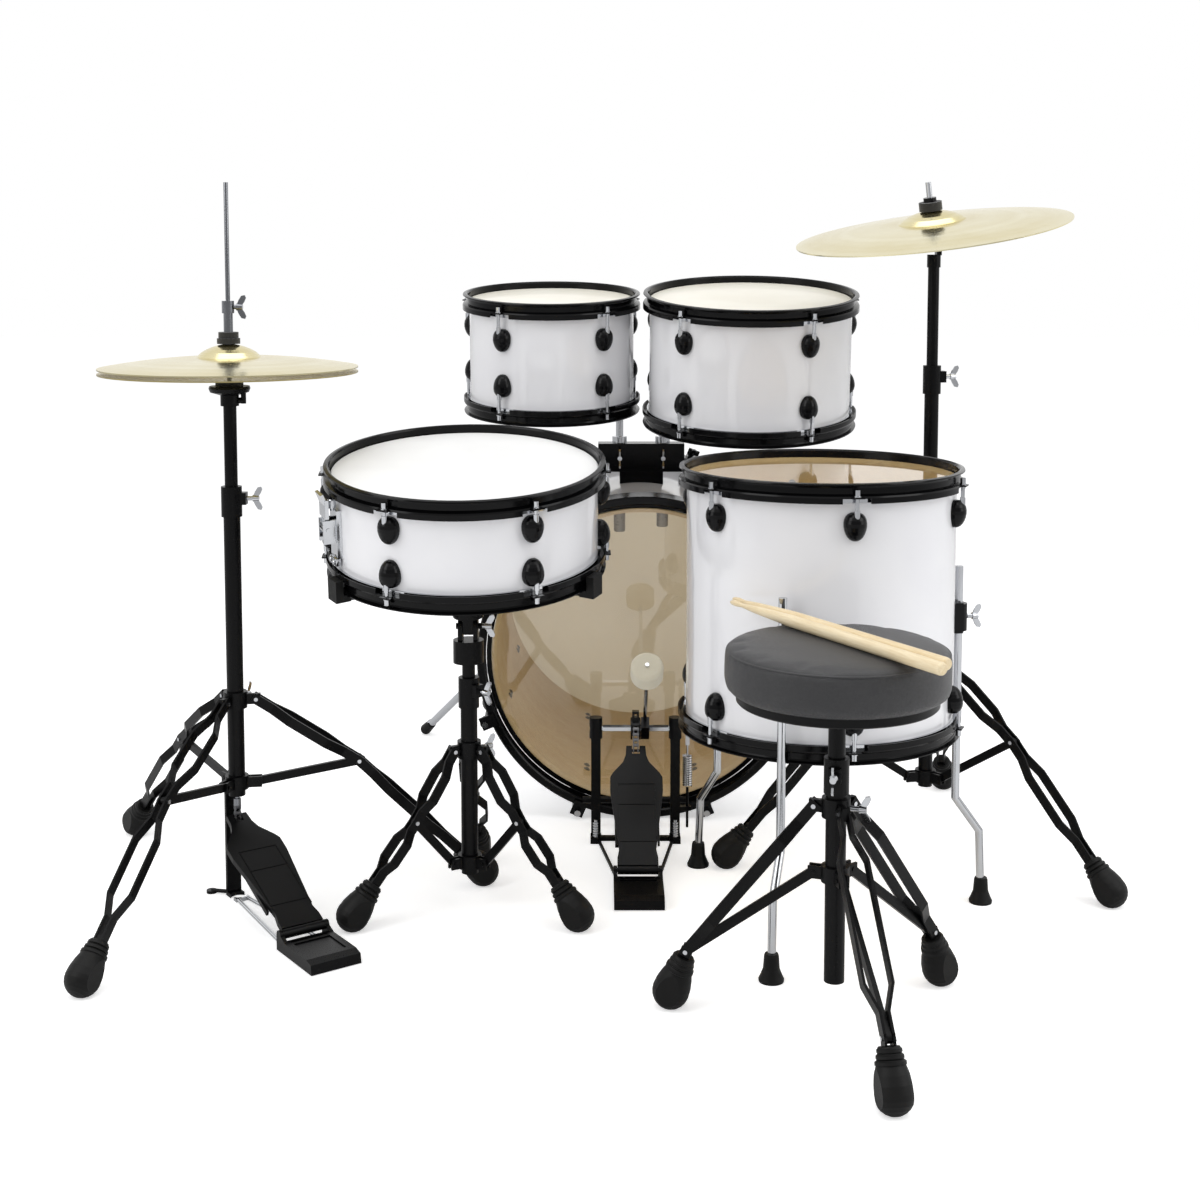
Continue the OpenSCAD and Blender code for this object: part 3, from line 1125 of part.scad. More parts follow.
// the cymbal's own frame: z = 0 on the tilter's pin, +z along the stem
module on_tilter() { translate([crash_at[0], crash_at[1], knuckle_z]) rotate([crash_pitch, -crash_roll, 0]) children(); }
crash_h = 28;
crash_seat = 46;
module crash_tilter() {
  color("silver") {
    translate([crash_at[0], crash_at[1], knuckle_z]) rotate([0, 90, 0]) {
      translate([0, 0, -4.8]) cylinder(r = 12, h = 7);
      translate([0, 0, -14]) cylinder(r = 3.5, h = 28);
    }
    on_tilter() {
      translate([0, 0, 13]) cylinder(r = stem_low_r, h = crash_seat + stem_bare - 13);
      translate([0, 0, crash_seat + stem_bare]) cylinder(r = stem_r, h = 20);
      translate([0, 0, 13]) cylinder(r = 8, h = 11);
      translate([-7, -6, 6]) cube([7, 12, 8]);
    }
  }
  color("black") on_tilter() {
    translate([0, 0, crash_seat - cymbal_t - 18.5]) ring(16, stem_low_r + seat_gap, 8);
    translate([0, 0, crash_seat - cymbal_t - 10.5 + seat_gap]) ring(14, stem_low_r + seat_gap, 9);
    translate([0, 0, crash_seat + 0.3]) ring(16, stem_low_r + seat_gap, 12);
    translate([0, 0, crash_seat + 12.3 + seat_gap]) ring(9, stem_low_r + seat_gap, 6);
  }
}
module crash_cymbal() { color("khaki") on_tilter() translate([0, 0, crash_seat - crash_h]) cymbal(crash_d, crash_h, 48, 15, 5.5); }

// ---------- throne ----------
throne_clamp_z = 296;
throne_tube_r = lower_r + 0.4;
throne_post_r = upper_r + 1;
plate_t = 10;
hub_h = 26;
seat_bottom = seat_z - seat_h;
throne_tube_low = 58;
throne_wing_turn = -104;
throne_post_low = 92;
module throne_tube() {
  color("black") base_tube(throne_at, throne_legset, throne_tube_low, throne_clamp_z, throne_post_r, throne_tube_r, throne_wing_turn);
}
module throne_legs() { color("black") tripod_legs(throne_at, throne_legset); }
module throne_post() {
  color("black") translate([throne_at[0], throne_at[1], 0]) {
    translate([0, 0, throne_post_low]) cylinder(r = throne_post_r, h = seat_bottom - plate_t - hub_h - throne_post_low + 22);
  }
}
module throne_seat() {
  translate([throne_at[0], throne_at[1], 0]) {
    color("black") {
      // hub over the post's end, and the board that carries the pad
      translate([0, 0, seat_bottom - plate_t - hub_h - 0.1]) difference() {
        union() { cylinder(r = 17, h = hub_h); translate([0, 0, hub_h - 4]) cylinder(r = 48, h = 4); }
        translate([0, 0, -1]) cylinder(r = throne_post_r + 0.3, h = 24);
      }
      translate([0, 0, seat_bottom - plate_t]) cylinder(r = seat_d/2 - 8, h = plate_t - 0.1);
    }
    color("dimgray") rotate_extrude() polygon(concat(
      [[0, seat_bottom]],
      [for (i = [0:4]) [seat_d/2 - 9 + 9*sin(22.5*i), seat_bottom + 9 - 9*cos(22.5*i)]],
      [for (i = [0:5]) [seat_d/2 - 16 + 16*cos(18*i), seat_z - 20 + 16*sin(18*i)]],
      [[seat_d/4, seat_z - 0.5], [0, seat_z]]));
  }
}

// ---------- sticks ----------
module stick() {
  r = stick_d/2;
  neck = stick_len - 26;
  rotate([0, 90, 0]) rotate_extrude() polygon([
    [0, 0], [r - 2, 0], [r - 0.6, 1.2], [r, 3.5], [r, stick_len*0.68], [r*0.62, neck - 26], [r*0.36, neck],
    [r*0.42, neck + 6], [r*0.5, neck + 13], [r*0.4, neck + 21], [r*0.2, neck + 25], [0, stick_len]]);
}
// the sticks lie on the pad side by side; their butts overhang its edge towards the drummer
module on_seat(at, turn) { translate([at[0], at[1], seat_z + stick_d/2 + 0.4]) rotate(turn) children(); }
stick_at = [throne_at[0] + 85, throne_at[1] - 152];
stick_turn = 119.4;
stick_apart = 18;
stick_close = 0.8;
stick_shift = 14;
module drumstick_1() { color("tan") on_seat(stick_at, stick_turn) stick(); }
module drumstick_2() { color("tan") on_seat(stick_at, stick_turn) translate([stick_shift, -stick_apart, 0]) rotate(stick_close) stick(); }

bass_shell();
bass_hoops();
bass_heads();
bass_claws();
spur_left();
spur_right();
tom_mount();
tom1_arm();
tom1_shell();
tom1_hoops();
tom1_heads();
tom1_lugs();
tom2_arm();
tom2_shell();
tom2_hoops();
tom2_heads();
tom2_lugs();
floor_tom_shell();
floor_tom_hoops();
floor_tom_heads();
floor_tom_lugs();
floor_tom_leg_1();
floor_tom_leg_2();
floor_tom_leg_3();
snare_shell();
snare_hoops();
snare_heads();
snare_lugs();
snare_strainer();
strainer_lever();
snare_tube();
snare_legs();
snare_post();
snare_basket();
hihat_tube();
hihat_legs();
hihat_footboard();
hihat_chain();
hihat_upper_tube();
hihat_rod();
hihat_top_cymbal();
hihat_bottom_cymbal();
pedal_frame();
pedal_footboard();
pedal_axle();
pedal_beater();
pedal_chain();
pedal_spring();
crash_tube();
crash_legs();
crash_post();
crash_tilter();
crash_cymbal();
throne_tube();
throne_legs();
throne_post();
throne_seat();
drumstick_1();
drumstick_2();
tripod_feet();
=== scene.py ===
"""Looks for an acoustic drum kit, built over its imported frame.

The frame gives every CAD node in place. This script paints each of them with procedural
finishes, puts a padded seat on the throne in place of its plain solid, adds the small
hardware that the frame leaves out, and lights it all.
"""
import logging
import math
from dataclasses import dataclass, field, replace
from enum import Enum
from typing import Optional, Sequence

import bmesh
import bpy
import numpy as np
from mathutils import Matrix, Vector


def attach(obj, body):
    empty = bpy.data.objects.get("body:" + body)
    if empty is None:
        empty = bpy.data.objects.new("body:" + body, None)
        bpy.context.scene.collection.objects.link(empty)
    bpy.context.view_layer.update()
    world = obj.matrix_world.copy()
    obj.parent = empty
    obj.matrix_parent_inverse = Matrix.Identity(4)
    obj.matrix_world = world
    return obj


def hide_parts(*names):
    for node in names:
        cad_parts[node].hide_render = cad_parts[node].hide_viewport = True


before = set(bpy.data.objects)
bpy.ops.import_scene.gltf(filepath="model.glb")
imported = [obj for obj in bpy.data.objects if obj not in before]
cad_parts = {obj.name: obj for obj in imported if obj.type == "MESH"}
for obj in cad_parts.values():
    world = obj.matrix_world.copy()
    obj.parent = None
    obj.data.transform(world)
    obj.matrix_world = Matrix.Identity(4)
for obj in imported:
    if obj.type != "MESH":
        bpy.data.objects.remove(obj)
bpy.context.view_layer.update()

MM = 0.001
LOG = logging.getLogger("drum_kit")

# ---------- node graphs ----------
# Sockets of a Mix node for colours, which come after those of its other modes.
MIX_FACTOR, MIX_FIRST, MIX_SECOND, MIX_RESULT = 0, 6, 7, 2
# Values of a noise between which a finish changes: a wide span fades slowly, a narrow one
# has clearer edges.
WIDE = {"From Min": 0.3, "From Max": 0.7}
NARROW = {"From Min": 0.35, "From Max": 0.65}
# Fractal noises: the grain of a surface, and its slow drift or smallest pores.
GRAIN = {"Detail": 3.0, "Roughness": 0.55}
DRIFT = {"Detail": 2.0, "Roughness": 0.55}
WHITE_LIGHT = (1, 1, 1, 1)


def linear(hex_colour: str) -> tuple[float, float, float, float]:
    """Turns an sRGB hex colour into the linear RGBA that shader sockets take.

    Args:
        hex_colour: Six hex digits, with or without a leading hash.
    Returns:
        Linear red, green and blue with an alpha of 1.
    """
    digits = hex_colour.lstrip("#")
    channels = []
    for start in (0, 2, 4):
        c = int(digits[start:start + 2], 16)/255
        channels.append(c/12.92 if c <= 0.04045 else ((c + 0.055)/1.055)**2.4)
    return (channels[0], channels[1], channels[2], 1.0)


class Graph:
    """A node tree with a short way to add and join nodes."""

    def __init__(self, tree: bpy.types.NodeTree) -> None:
        """Empties the tree.

        Args:
            tree: A material's or the world's node tree.
        """
        self.tree = tree
        tree.nodes.clear()

    def add(self, kind: str, sockets: Optional[dict] = None, **settings: object) -> bpy.types.Node:
        """Adds a shader node with its settings and links.

        Args:
            kind: The node's type name without its ShaderNode prefix.
            sockets: Input name or index to a value, to another node's output to link from,
                or to a node, which stands for its first output.
            settings: Properties of the node itself.
        Returns:
            The new node.
        """
        node = self.tree.nodes.new(f"ShaderNode{kind}")
        for name, value in settings.items():
            setattr(node, name, value)
        for name, value in (sockets or {}).items():
            if isinstance(value, bpy.types.Node):
                value = value.outputs[0]
            if isinstance(value, bpy.types.NodeSocket):
                self.tree.links.new(value, node.inputs[name])
            else:
                node.inputs[name].default_value = value
        return node

    def object_coords(self, place: Optional[Matrix] = None,
                      scale: Sequence[float] = (1, 1, 1)) -> bpy.types.Node:
        """Object coordinates, seen from a place of their own if one is given.

        Args:
            place: The place's matrix in the row frame.
            scale: Stretch along each axis of that place.
        Returns:
            The node that gives them.
        """
        coords = self.add("TexCoord").outputs["Object"]
        if place is not None:
            coords = self.add("Mapping", {
                "Vector": coords, "Location": tuple(place.translation),
                "Rotation": tuple(place.to_euler("XYZ"))}, vector_type="TEXTURE")
        return self.add("Mapping", {"Vector": coords, "Scale": tuple(scale)})

    def weighed(self, first: bpy.types.Node, second: bpy.types.Node,
                share: float) -> bpy.types.Node:
        """Adds two patterns by weight.

        Args:
            first: One pattern.
            second: The other one.
            share: The first one's weight, from 0 to 1; the second has the rest.
        Returns:
            The node that gives their sum.
        """
        major = self.add("Math", {0: first, 1: share}, operation="MULTIPLY")
        minor = self.add("Math", {0: second, 1: 1 - share}, operation="MULTIPLY")
        return self.add("Math", {0: major, 1: minor}, operation="ADD")

    def largest(self, first: object, *others: object) -> object:
        """Finds the largest of some values.

        Args:
            first: A node, an output or a number.
            others: More of them.
        Returns:
            What gives the largest.
        """
        for other in others:
            first = self.add("Math", {0: first, 1: other}, operation="MAXIMUM")
        return first

    def crumpled(self, coords: bpy.types.Node, scale: float, bend: float) -> bpy.types.NodeSocket:
        """Bends coordinates by a noise, so that what is drawn on them isn't straight.

        Args:
            coords: The coordinates.
            scale: The noise's scale, in cycles for each metre.
            bend: The noise's share of the result.
        Returns:
            The bent coordinates.
        """
        noise = self.add("TexNoise", {"Vector": coords, "Scale": scale, "Detail": 2.0})
        return self.add("Mix", {
            MIX_FACTOR: bend, MIX_FIRST: coords, MIX_SECOND: noise.outputs["Color"]},
            data_type="RGBA").outputs[MIX_RESULT]


# ---------- finishes ----------
@dataclass(frozen=True)
class Finish:
    """A painted, plated or moulded surface: two close tones that drift, over a fine relief.

    Relief is in metres. Grain and drift are in cycles for each metre, so that a grain of
    400 repeats every 2.5 mm. A pattern with a place is drawn in that place's own axes.
    """

    name: str
    slot: str
    colour: str
    tone: str
    roughness: float
    grain: float
    relief: float
    metallic: float = 0.0
    coat: float = 0.0
    coat_roughness: float = 0.05
    sheen: float = 0.0
    gloss: float = 0.5
    drift: float = 9.0
    place: Optional[Matrix] = field(default=None, compare=False)

    def material(self) -> bpy.types.Material:
        """Makes the finish's material, or finds it where it's made already.

        Returns:
            The material.
        """
        name = f"finish_{self.name}"
        found = bpy.data.materials.get(name)
        if found:
            return found
        made = bpy.data.materials.new(name)
        made.use_nodes = True
        self.build(Graph(made.node_tree))
        return made

    def tones(self, graph: Graph, pattern: bpy.types.Node, span: dict,
              first: Optional[bpy.types.NodeSocket] = None) -> bpy.types.NodeSocket:
        """Goes from the finish's colour to its tone over a span of a pattern.

        Args:
            graph: The material's node tree.
            pattern: The node whose value picks between the two.
            span: Its values at which each is reached, and the tone's share there if that
                isn't 0 and 1.
            first: What stands in for the finish's colour, if anything does.
        Returns:
            The mixed colour.
        """
        if first is None:
            first = linear(self.colour)
        share = graph.add("MapRange", {"Value": pattern, **span})
        return graph.add("Mix", {
            MIX_FACTOR: share, MIX_FIRST: first, MIX_SECOND: linear(self.tone)},
            data_type="RGBA").outputs[MIX_RESULT]

    def surface(self, graph: Graph, colour: bpy.types.NodeSocket, relief: bpy.types.Node,
                wear: Optional[dict] = None, turned: Optional[dict] = None) -> None:
        """Ends the node tree in a surface with its colour, relief and uneven roughness.

        Args:
            graph: The material's node tree.
            colour: The colour's output.
            relief: The node whose value is the height of the relief, from 0 to 1.
            wear: The pattern that the roughness follows, with its span, and the shares of
                the roughness at its ends; none for an even surface.
            turned: Sockets for a stretched highlight, if it has one.
        """
        roughness = self.roughness if wear is None else graph.add("MapRange", {
            **wear, "To Min": self.roughness*wear["To Min"],
            "To Max": self.roughness*wear["To Max"]})
        shader = graph.add("BsdfPrincipled", {
            "Base Color": colour,
            "Roughness": roughness,
            "Metallic": self.metallic,
            "Coat Weight": self.coat,
            "Coat Roughness": self.coat_roughness,
            "Sheen Weight": self.sheen,
            "Specular IOR Level": self.gloss,
            "Normal": graph.add("Bump", {
                "Height": relief, "Distance": self.relief, "Strength": 1.0}),
            **(turned or {}),
        })
        graph.add("OutputMaterial", {"Surface": shader})

    def build(self, graph: Graph) -> None:
        """Fills the material's node tree.

        Args:
            graph: The empty tree.
        """
        coords = graph.object_coords(self.place)
        fine = graph.add("TexNoise", {"Vector": coords, "Scale": self.grain, **GRAIN})
        broad = graph.add("TexNoise", {"Vector": coords, "Scale": self.drift, **DRIFT})
        self.surface(graph, self.tones(graph, broad, WIDE), fine,
                     {"Value": fine, **WIDE, "To Min": 0.85, "To Max": 1.15})


@dataclass(frozen=True)
class Lathed(Finish):
    """Turned cymbal bronze: tone grooves round the place's Z axis, in wider bands.

    Its highlight is stretched across the grooves, so that it fans out from the bell.
    """

    drift: float = 14.0
    bands: float = 28.0
    fan: float = 0.55

    def build(self, graph: Graph) -> None:
        """Fills the material's node tree.

        Args:
            graph: The empty tree.
        """
        coords = graph.object_coords(self.place)
        flat = graph.add("VectorMath", {0: coords, 1: (1.0, 1.0, 0.0)}, operation="MULTIPLY")
        radius = graph.add("VectorMath", {0: flat}, operation="LENGTH").outputs["Value"]
        rings = graph.add("TexNoise", {
            "W": radius, "Scale": self.grain, "Detail": 4.0, "Roughness": 0.7},
            noise_dimensions="1D")
        bands = graph.add("TexNoise", {
            "W": radius, "Scale": self.bands, "Detail": 1.0}, noise_dimensions="1D")
        cloud = graph.add("TexNoise", {"Vector": coords, "Scale": self.drift, **GRAIN})
        tone = graph.weighed(graph.weighed(rings, bands, share=0.45), cloud, share=0.75)
        axis = tuple(self.place.to_3x3() @ Vector((0, 0, 1)))
        outward = graph.add("Mapping", {
            "Vector": flat, "Rotation": tuple(self.place.to_euler("XYZ"))})
        around = graph.add("VectorMath", {0: outward, 1: axis}, operation="CROSS_PRODUCT")
        tangent = graph.add("VectorMath", {0: around}, operation="NORMALIZE")
        self.surface(graph, self.tones(graph, tone, NARROW), rings,
                     {"Value": rings, **WIDE, "To Min": 0.8, "To Max": 1.2},
                     {"Anisotropic": self.fan, "Tangent": tangent})


@dataclass(frozen=True)
class Timber(Finish):
    """Sanded timber: streaks stretched along the place's X axis, with fine pores."""

    coat_roughness: float = 0.2
    drift: float = 2.5
    stretch: float = 14.0

    def build(self, graph: Graph) -> None:
        """Fills the material's node tree.

        Args:
            graph: The empty tree.
        """
        coords = graph.object_coords(self.place, (1.0, self.stretch, self.stretch))
        streaks = graph.add("TexNoise", {
            "Vector": coords, "Scale": self.grain/self.stretch, "Detail": 5.0,
            "Roughness": 0.65})
        broad = graph.add("TexNoise", {"Vector": coords, "Scale": self.drift, **DRIFT})
        pores = graph.add("TexNoise", {"Vector": coords, "Scale": self.grain, **DRIFT})
        tone = graph.weighed(streaks, broad, share=0.6)
        self.surface(graph, self.tones(graph, tone, NARROW), streaks,
                     {"Value": pores, **WIDE, "To Min": 0.85, "To Max": 1.15})


@dataclass(frozen=True)
class Hide(Finish):
    """Embossed vinyl: small bent cells, duller in the creases between them, where painted shade
    darkens them.
    """

    drift: float = 7.0
    crease: float = 0.14

    def build(self, graph: Graph) -> None:
        """Fills the material's node tree.

        Args:
            graph: The empty tree.
        """
        coords = graph.object_coords(self.place)
        cells = graph.add("TexVoronoi", {
            "Vector": graph.crumpled(coords, scale=60.0, bend=0.06), "Scale": self.grain},
            feature="DISTANCE_TO_EDGE")
        crease = graph.add("MapRange", {
            "Value": cells, "From Min": 0.0, "From Max": self.crease})
        fine = graph.add("TexNoise", {
            "Vector": coords, "Scale": self.grain*2.2, **DRIFT})
        height = graph.weighed(crease, fine, share=0.8)
        broad = graph.add("TexNoise", {"Vector": coords, "Scale": self.drift, **DRIFT})
        worn = self.tones(graph, broad, {**WIDE, "To Min": 0.0, "To Max": 0.35})
        # Towards each cell's edge the colour goes halfway to the darker tone: painted shade in the
        # creases.
        colour = self.tones(graph, crease, {"To Min": 0.5, "To Max": 0.0}, worn)
        self.surface(graph, colour, height, {
            "Value": height, "From Min": 0.2, "From Max": 0.9, "To Min": 1.15, "To Max": 0.9})


@dataclass(frozen=True)
class Fibre(Finish):
    """Pressed felt: matted fibres with a soft sheen, and painted shade that darkens the hollows
    between them.
    """

    def build(self, graph: Graph) -> None:
        """Fills the material's node tree.

        Args:
            graph: The empty tree.
        """
        coords = graph.object_coords(self.place)
        fibres = graph.add("TexNoise", {
            "Vector": graph.crumpled(coords, scale=180.0, bend=0.01), "Scale": self.grain,
            "Detail": 6.0, "Roughness": 0.75, "Distortion": 1.5})
        # The colour follows the relief: raised tufts take the lighter tone, the hollows a painted
        # shade.
        self.surface(graph, self.tones(graph, fibres, NARROW), fibres)


@dataclass(frozen=True)
class Film(Finish):
    """Drum film: seen through, with a haze, and a gloss that grows towards grazing views.

    The colour tints what is seen through it and the tone is that of the haze.
    """

    drift: float = 6.0
    haze: float = 0.03
    index: float = 1.45

    def build(self, graph: Graph) -> None:
        """Fills the material's node tree.

        Args:
            graph: The empty tree.
        """
        coords = graph.object_coords(self.place)
        fine = graph.add("TexNoise", {"Vector": coords, "Scale": self.grain, **GRAIN})
        broad = graph.add("TexNoise", {"Vector": coords, "Scale": self.drift, **DRIFT})
        normal = graph.add("Bump", {
            "Height": fine, "Distance": self.relief, "Strength": 1.0})
        milk = {"Color": linear(self.tone), "Normal": normal}
        cloudy = graph.add("MixShader", {
            0: 0.5, 1: graph.add("BsdfDiffuse", milk),
            2: graph.add("BsdfTranslucent", milk)})
        body = graph.add("MixShader", {
            0: graph.add("MapRange", {
                "Value": broad, **WIDE, "To Min": self.haze*0.95, "To Max": self.haze*1.05}),
            1: graph.add("BsdfTransparent", {"Color": linear(self.colour)}),
            2: cloudy})
        gloss = graph.add("BsdfGlossy", {
            "Color": WHITE_LIGHT, "Roughness": self.roughness, "Normal": normal})
        # Only the outer face mirrors: inside the film's thickness it would mirror all light.
        outer = graph.add("Math", {
            0: 1.0, 1: graph.add("NewGeometry").outputs["Backfacing"]},
            operation="SUBTRACT")
        edge = graph.add("Fresnel", {"IOR": self.index, "Normal": normal})
        mirror = graph.add("Math", {0: edge, 1: outer}, operation="MULTIPLY")
        whole = graph.add("MixShader", {0: mirror, 1: body, 2: gloss})
        graph.add("OutputMaterial", {"Surface": whole})


# Sprayed and polished polyurethane lacquer on the shells: a hard wet gloss over even white.
# Its orange peel is drawn 4 mm wide, twice the real width, so that it shows.
LACQUER = Finish("white_lacquer", "white_gloss", "#f0f0f2", "#ebebee", 0.14,
                 grain=260.0, relief=0.000012, coat=0.6)
# Stoved enamel on steel and wooden hoops: deep black with sharp, slightly wavy highlights.
# The waves are 4.5 mm wide, coarser than real.
ENAMEL = Finish("black_enamel", "black_hoop", "#040405", "#09090a", 0.16,
                grain=220.0, relief=0.00002, gloss=0.16)
# Cast zinc with a smooth black coat: softer highlights than the hoops', 3 mm casting waves.
COATED_ZINC = Finish("black_coated_zinc", "black_fittings", "#040405", "#08080a", 0.2,
                     grain=300.0, relief=0.00003, gloss=0.18)
# Baked powder coat on steel tube and strip: satin black with a fine pebble. The pebbles are
# 1.1 mm, twice the real size, so that they show.
POWDER_COAT = Finish("black_powder_coat", "black_steel", "#040405", "#09090a", 0.3,
                     grain=900.0, relief=0.00004, gloss=0.14)
# Polished chrome plate: bright mirror with the slow 8 mm waves that buffing leaves.
CHROME = Finish("chrome_plate", "chrome", "#cdcfd2", "#b9bbbf", 0.1,
                grain=120.0, relief=0.000006, metallic=1.0)
# Drawn and polished steel rod: greyer and less sharp than chrome, with the same slow waves.
STEEL_ROD = Finish("polished_steel", "chrome", "#8c8e92", "#7b7d81", 0.16,
                   grain=120.0, relief=0.000006, metallic=1.0)
# Plated tube end inside the drum: a grey shine without clear mirror images, in 5 mm waves.
# Its darker, warmer grey than chrome's is painted shade for the dim inside of the shell.
DULL_SHADED_PLATE = Finish("dull_shaded_plate", "chrome", "#8b8985", "#75736f", 0.3,
                    grain=200.0, relief=0.00001, metallic=0.6)
# Zinc-plated steel links and screws: mottled grey. The zinc's grains are 1.1 mm, coarser
# than real.
ZINC_STEEL = Finish("zinc_plated_steel", "steel_chain", "#8c8d90", "#5e5f62", 0.3,
                    grain=900.0, relief=0.00004, metallic=1.0)
# Injection-moulded ABS: soft black with a faint etched grain, 0.8 mm, twice the real size.
MOULDED_ABS = Finish("moulded_abs", "black_plastic", "#060607", "#0c0c0d", 0.36,
                     grain=1200.0, relief=0.00004, gloss=0.16)
# Moulded natural rubber: dull black, dusty in places. Its grain is 0.7 mm, twice the real
# size.
RUBBER = Finish("moulded_rubber", "rubber", "#080808", "#10100f", 0.5,
                grain=1500.0, relief=0.00008, gloss=0.2)
# Polyester film with a sprayed coat: flat white, gritty to the touch. The grit is 0.6 mm,
# twice the real size.
COATED_FILM = Finish("coated_polyester", "coated_film", "#f1f1f0", "#e9e9e8", 0.5,
                     grain=1600.0, relief=0.00005, coat=0.1)
# The same coat with a cream tint and a thin gloss.
CREAM_FILM = Finish("cream_coated_polyester", "cream_film", "#efece0", "#e6e1d2", 0.4,
                    grain=1600.0, relief=0.00004, coat=0.25)
# Clear polyester film, stretched: glassy, with a faint 3 mm ripple. Its index is above the
# real 1.65 because both faces of the film mirror and only one is drawn.
CLEAR_FILM = Film("clear_polyester", "clear_film", "#fbf8f0", "#e9e2d2", 0.03,
                  grain=300.0, relief=0.000004, index=1.85)
# Frosted polyester: lets light through as a pale glow, with a blurred sheen on top and the
# 11 mm ripple that its stretching leaves.
FROSTED_FILM = Film("frosted_polyester", "coated_film", "#fbf8f0", "#f5f0e6", 0.2,
                    grain=90.0, relief=0.0000004, haze=0.8)
# Sanded maple ply inside the toms: pale and matt, with streaks 6 mm wide and 90 mm long.
MAPLE_PLY = Timber("sanded_maple_ply", "maple", "#f2e0ba", "#e4cb9b", 0.5,
                   grain=160.0, relief=0.00006, coat=0.15)
# The same ply in the bass drum, a little greyer.
BASS_PLY = replace(MAPLE_PLY, name="bass_maple_ply", colour="#ecdcbd", tone="#dfc69e")
# Turned maple with a thin lacquer: creamy and smooth, with streaks 2.4 mm wide.
TURNED_MAPLE = Timber("turned_maple", "maple", "#efe0bf", "#dcc59a", 0.42,
                      grain=420.0, relief=0.00004, coat=0.2)
# Pressed wool felt: chalky cream with a fuzzy edge. Its fibres are drawn as tufts of 1.1 mm,
# far coarser than real, so that they show, with painted shade in the hollows between them.
FELT = Fibre("pressed_felt", "felt", "#ebe2c6", "#fbf5e2", 0.95,
             grain=900.0, relief=0.0004, sheen=0.5)
# The same felt dyed near black, with only a hint of the fuzz and painted shade between tufts.
DARK_FELT = Fibre("dark_pressed_felt", "felt", "#141414", "#2b2b2b", 0.95,
                  grain=900.0, relief=0.0004, sheen=0.3)
# Embossed vinyl on foam: dark grey with a leathery grain of 1.4 mm, a little coarser than
# real, that breaks up its highlights, and painted shade that darkens the grain's creases.
VINYL = Hide("embossed_vinyl", "vinyl", "#2b2b2d", "#1c1c1e", 0.42,
             grain=700.0, relief=0.00012, sheen=0.08)
# Cast and turned bronze, unpolished: pale gold with fine grooves and a fan-shaped shine.
# The grooves are 1.1 mm apart, about twice the real spacing, so that they show.
BRONZE = Lathed("turned_bronze", "brass", "#e9e2c0", "#d3c48b", 0.19,
                grain=900.0, relief=0.00003, metallic=1.0)


# ---------- shapes ----------
# The row frame's own axes, and the angle past which an edge stays sharp.
HERE = Matrix.Identity(4)
SHARP = math.radians(35)
# Steps of a full turn of each kind of turned part, and sides of a round wire or piping.
SEAT_STEPS, PIPING_STEPS, HUB_STEPS, ROD_STEPS = 96, 128, 64, 32
KNOB_STEPS, COIL_STEPS, SCREW_STEPS, HOOK_STEPS, WIRE_SIDES = 24, 28, 16, 12, 10
# Profile of a pan-head screw on its washer, as (radius, height).
PAN_HEAD = ((0, 0), (5.0, 0), (5.0, 0.8), (3.4, 0.8), (3.4, 1.7), (2.6, 2.7), (1.2, 3.1), (0, 3.1))


def shift(x: float, y: float, z: float) -> Matrix:
    """A move by millimetres."""
    return Matrix.Translation(Vector((x, y, z))*MM)


def turn(degrees: float, axis: str) -> Matrix:
    """A turn about one axis."""
    return Matrix.Rotation(math.radians(degrees), 4, axis)


def mesh_object(name: str, bm: bmesh.types.BMesh, body: str,
                finish: Finish) -> bpy.types.Object:
    """Turns a bmesh in row-frame metres into a smooth piece that rides on a body.

    Args:
        name: The piece's name.
        bm: Its geometry; freed here.
        body: The CAD body it moves with.
        finish: Its finish.
    Returns:
        The new object, at the origin and unturned.
    """
    bmesh.ops.recalc_face_normals(bm, faces=bm.faces)
    mesh = bpy.data.meshes.new(name)
    bm.to_mesh(mesh)
    bm.free()
    mesh.materials.append(finish.material())
    piece = bpy.data.objects.new(name, mesh)
    bpy.context.scene.collection.objects.link(piece)
    mesh.shade_smooth()
    mesh.set_sharp_from_angle(angle=SHARP)
    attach(piece, body)
    LOG.info("made %s", name)
    return piece


def join(bm: bmesh.types.BMesh, part: bmesh.types.BMesh, place: Matrix) -> None:
    """Adds a part to a larger piece.

    Args:
        bm: The larger piece.
        part: The part, in its own axes; freed here.
        place: Where the part goes.
    """
    part.transform(place)
    mesh = bpy.data.meshes.new("part")
    part.to_mesh(mesh)
    part.free()
    bm.from_mesh(mesh)
    bpy.data.meshes.remove(mesh)


def lathe(bm: bmesh.types.BMesh, profile: Sequence[tuple[float, float]], place: Matrix,
          steps: int) -> None:
    """Spins a profile about a place's Z axis.

    Args:
        bm: What the turned part is added to.
        profile: (radius, height) in millimetres; it starts and ends on the axis, or closes
            on itself.
        place: Where the part stands.
        steps: Steps of a full turn.
    """
    part = bmesh.new()
    verts = [part.verts.new((radius*MM, 0.0, height*MM)) for radius, height in profile]
    edges = [part.edges.new(pair) for pair in zip(verts, verts[1:])]
    if profile[0][0] > 0:
        edges.append(part.edges.new((verts[-1], verts[0])))
    bmesh.ops.spin(part, geom=verts + edges, cent=(0, 0, 0), axis=(0, 0, 1), dvec=(0, 0, 0),
                   angle=2*math.pi, steps=steps, use_merge=True, use_normal_flip=False,
                   use_duplicate=False)
    bmesh.ops.remove_doubles(part, verts=part.verts, dist=1e-7)
    join(bm, part, place)


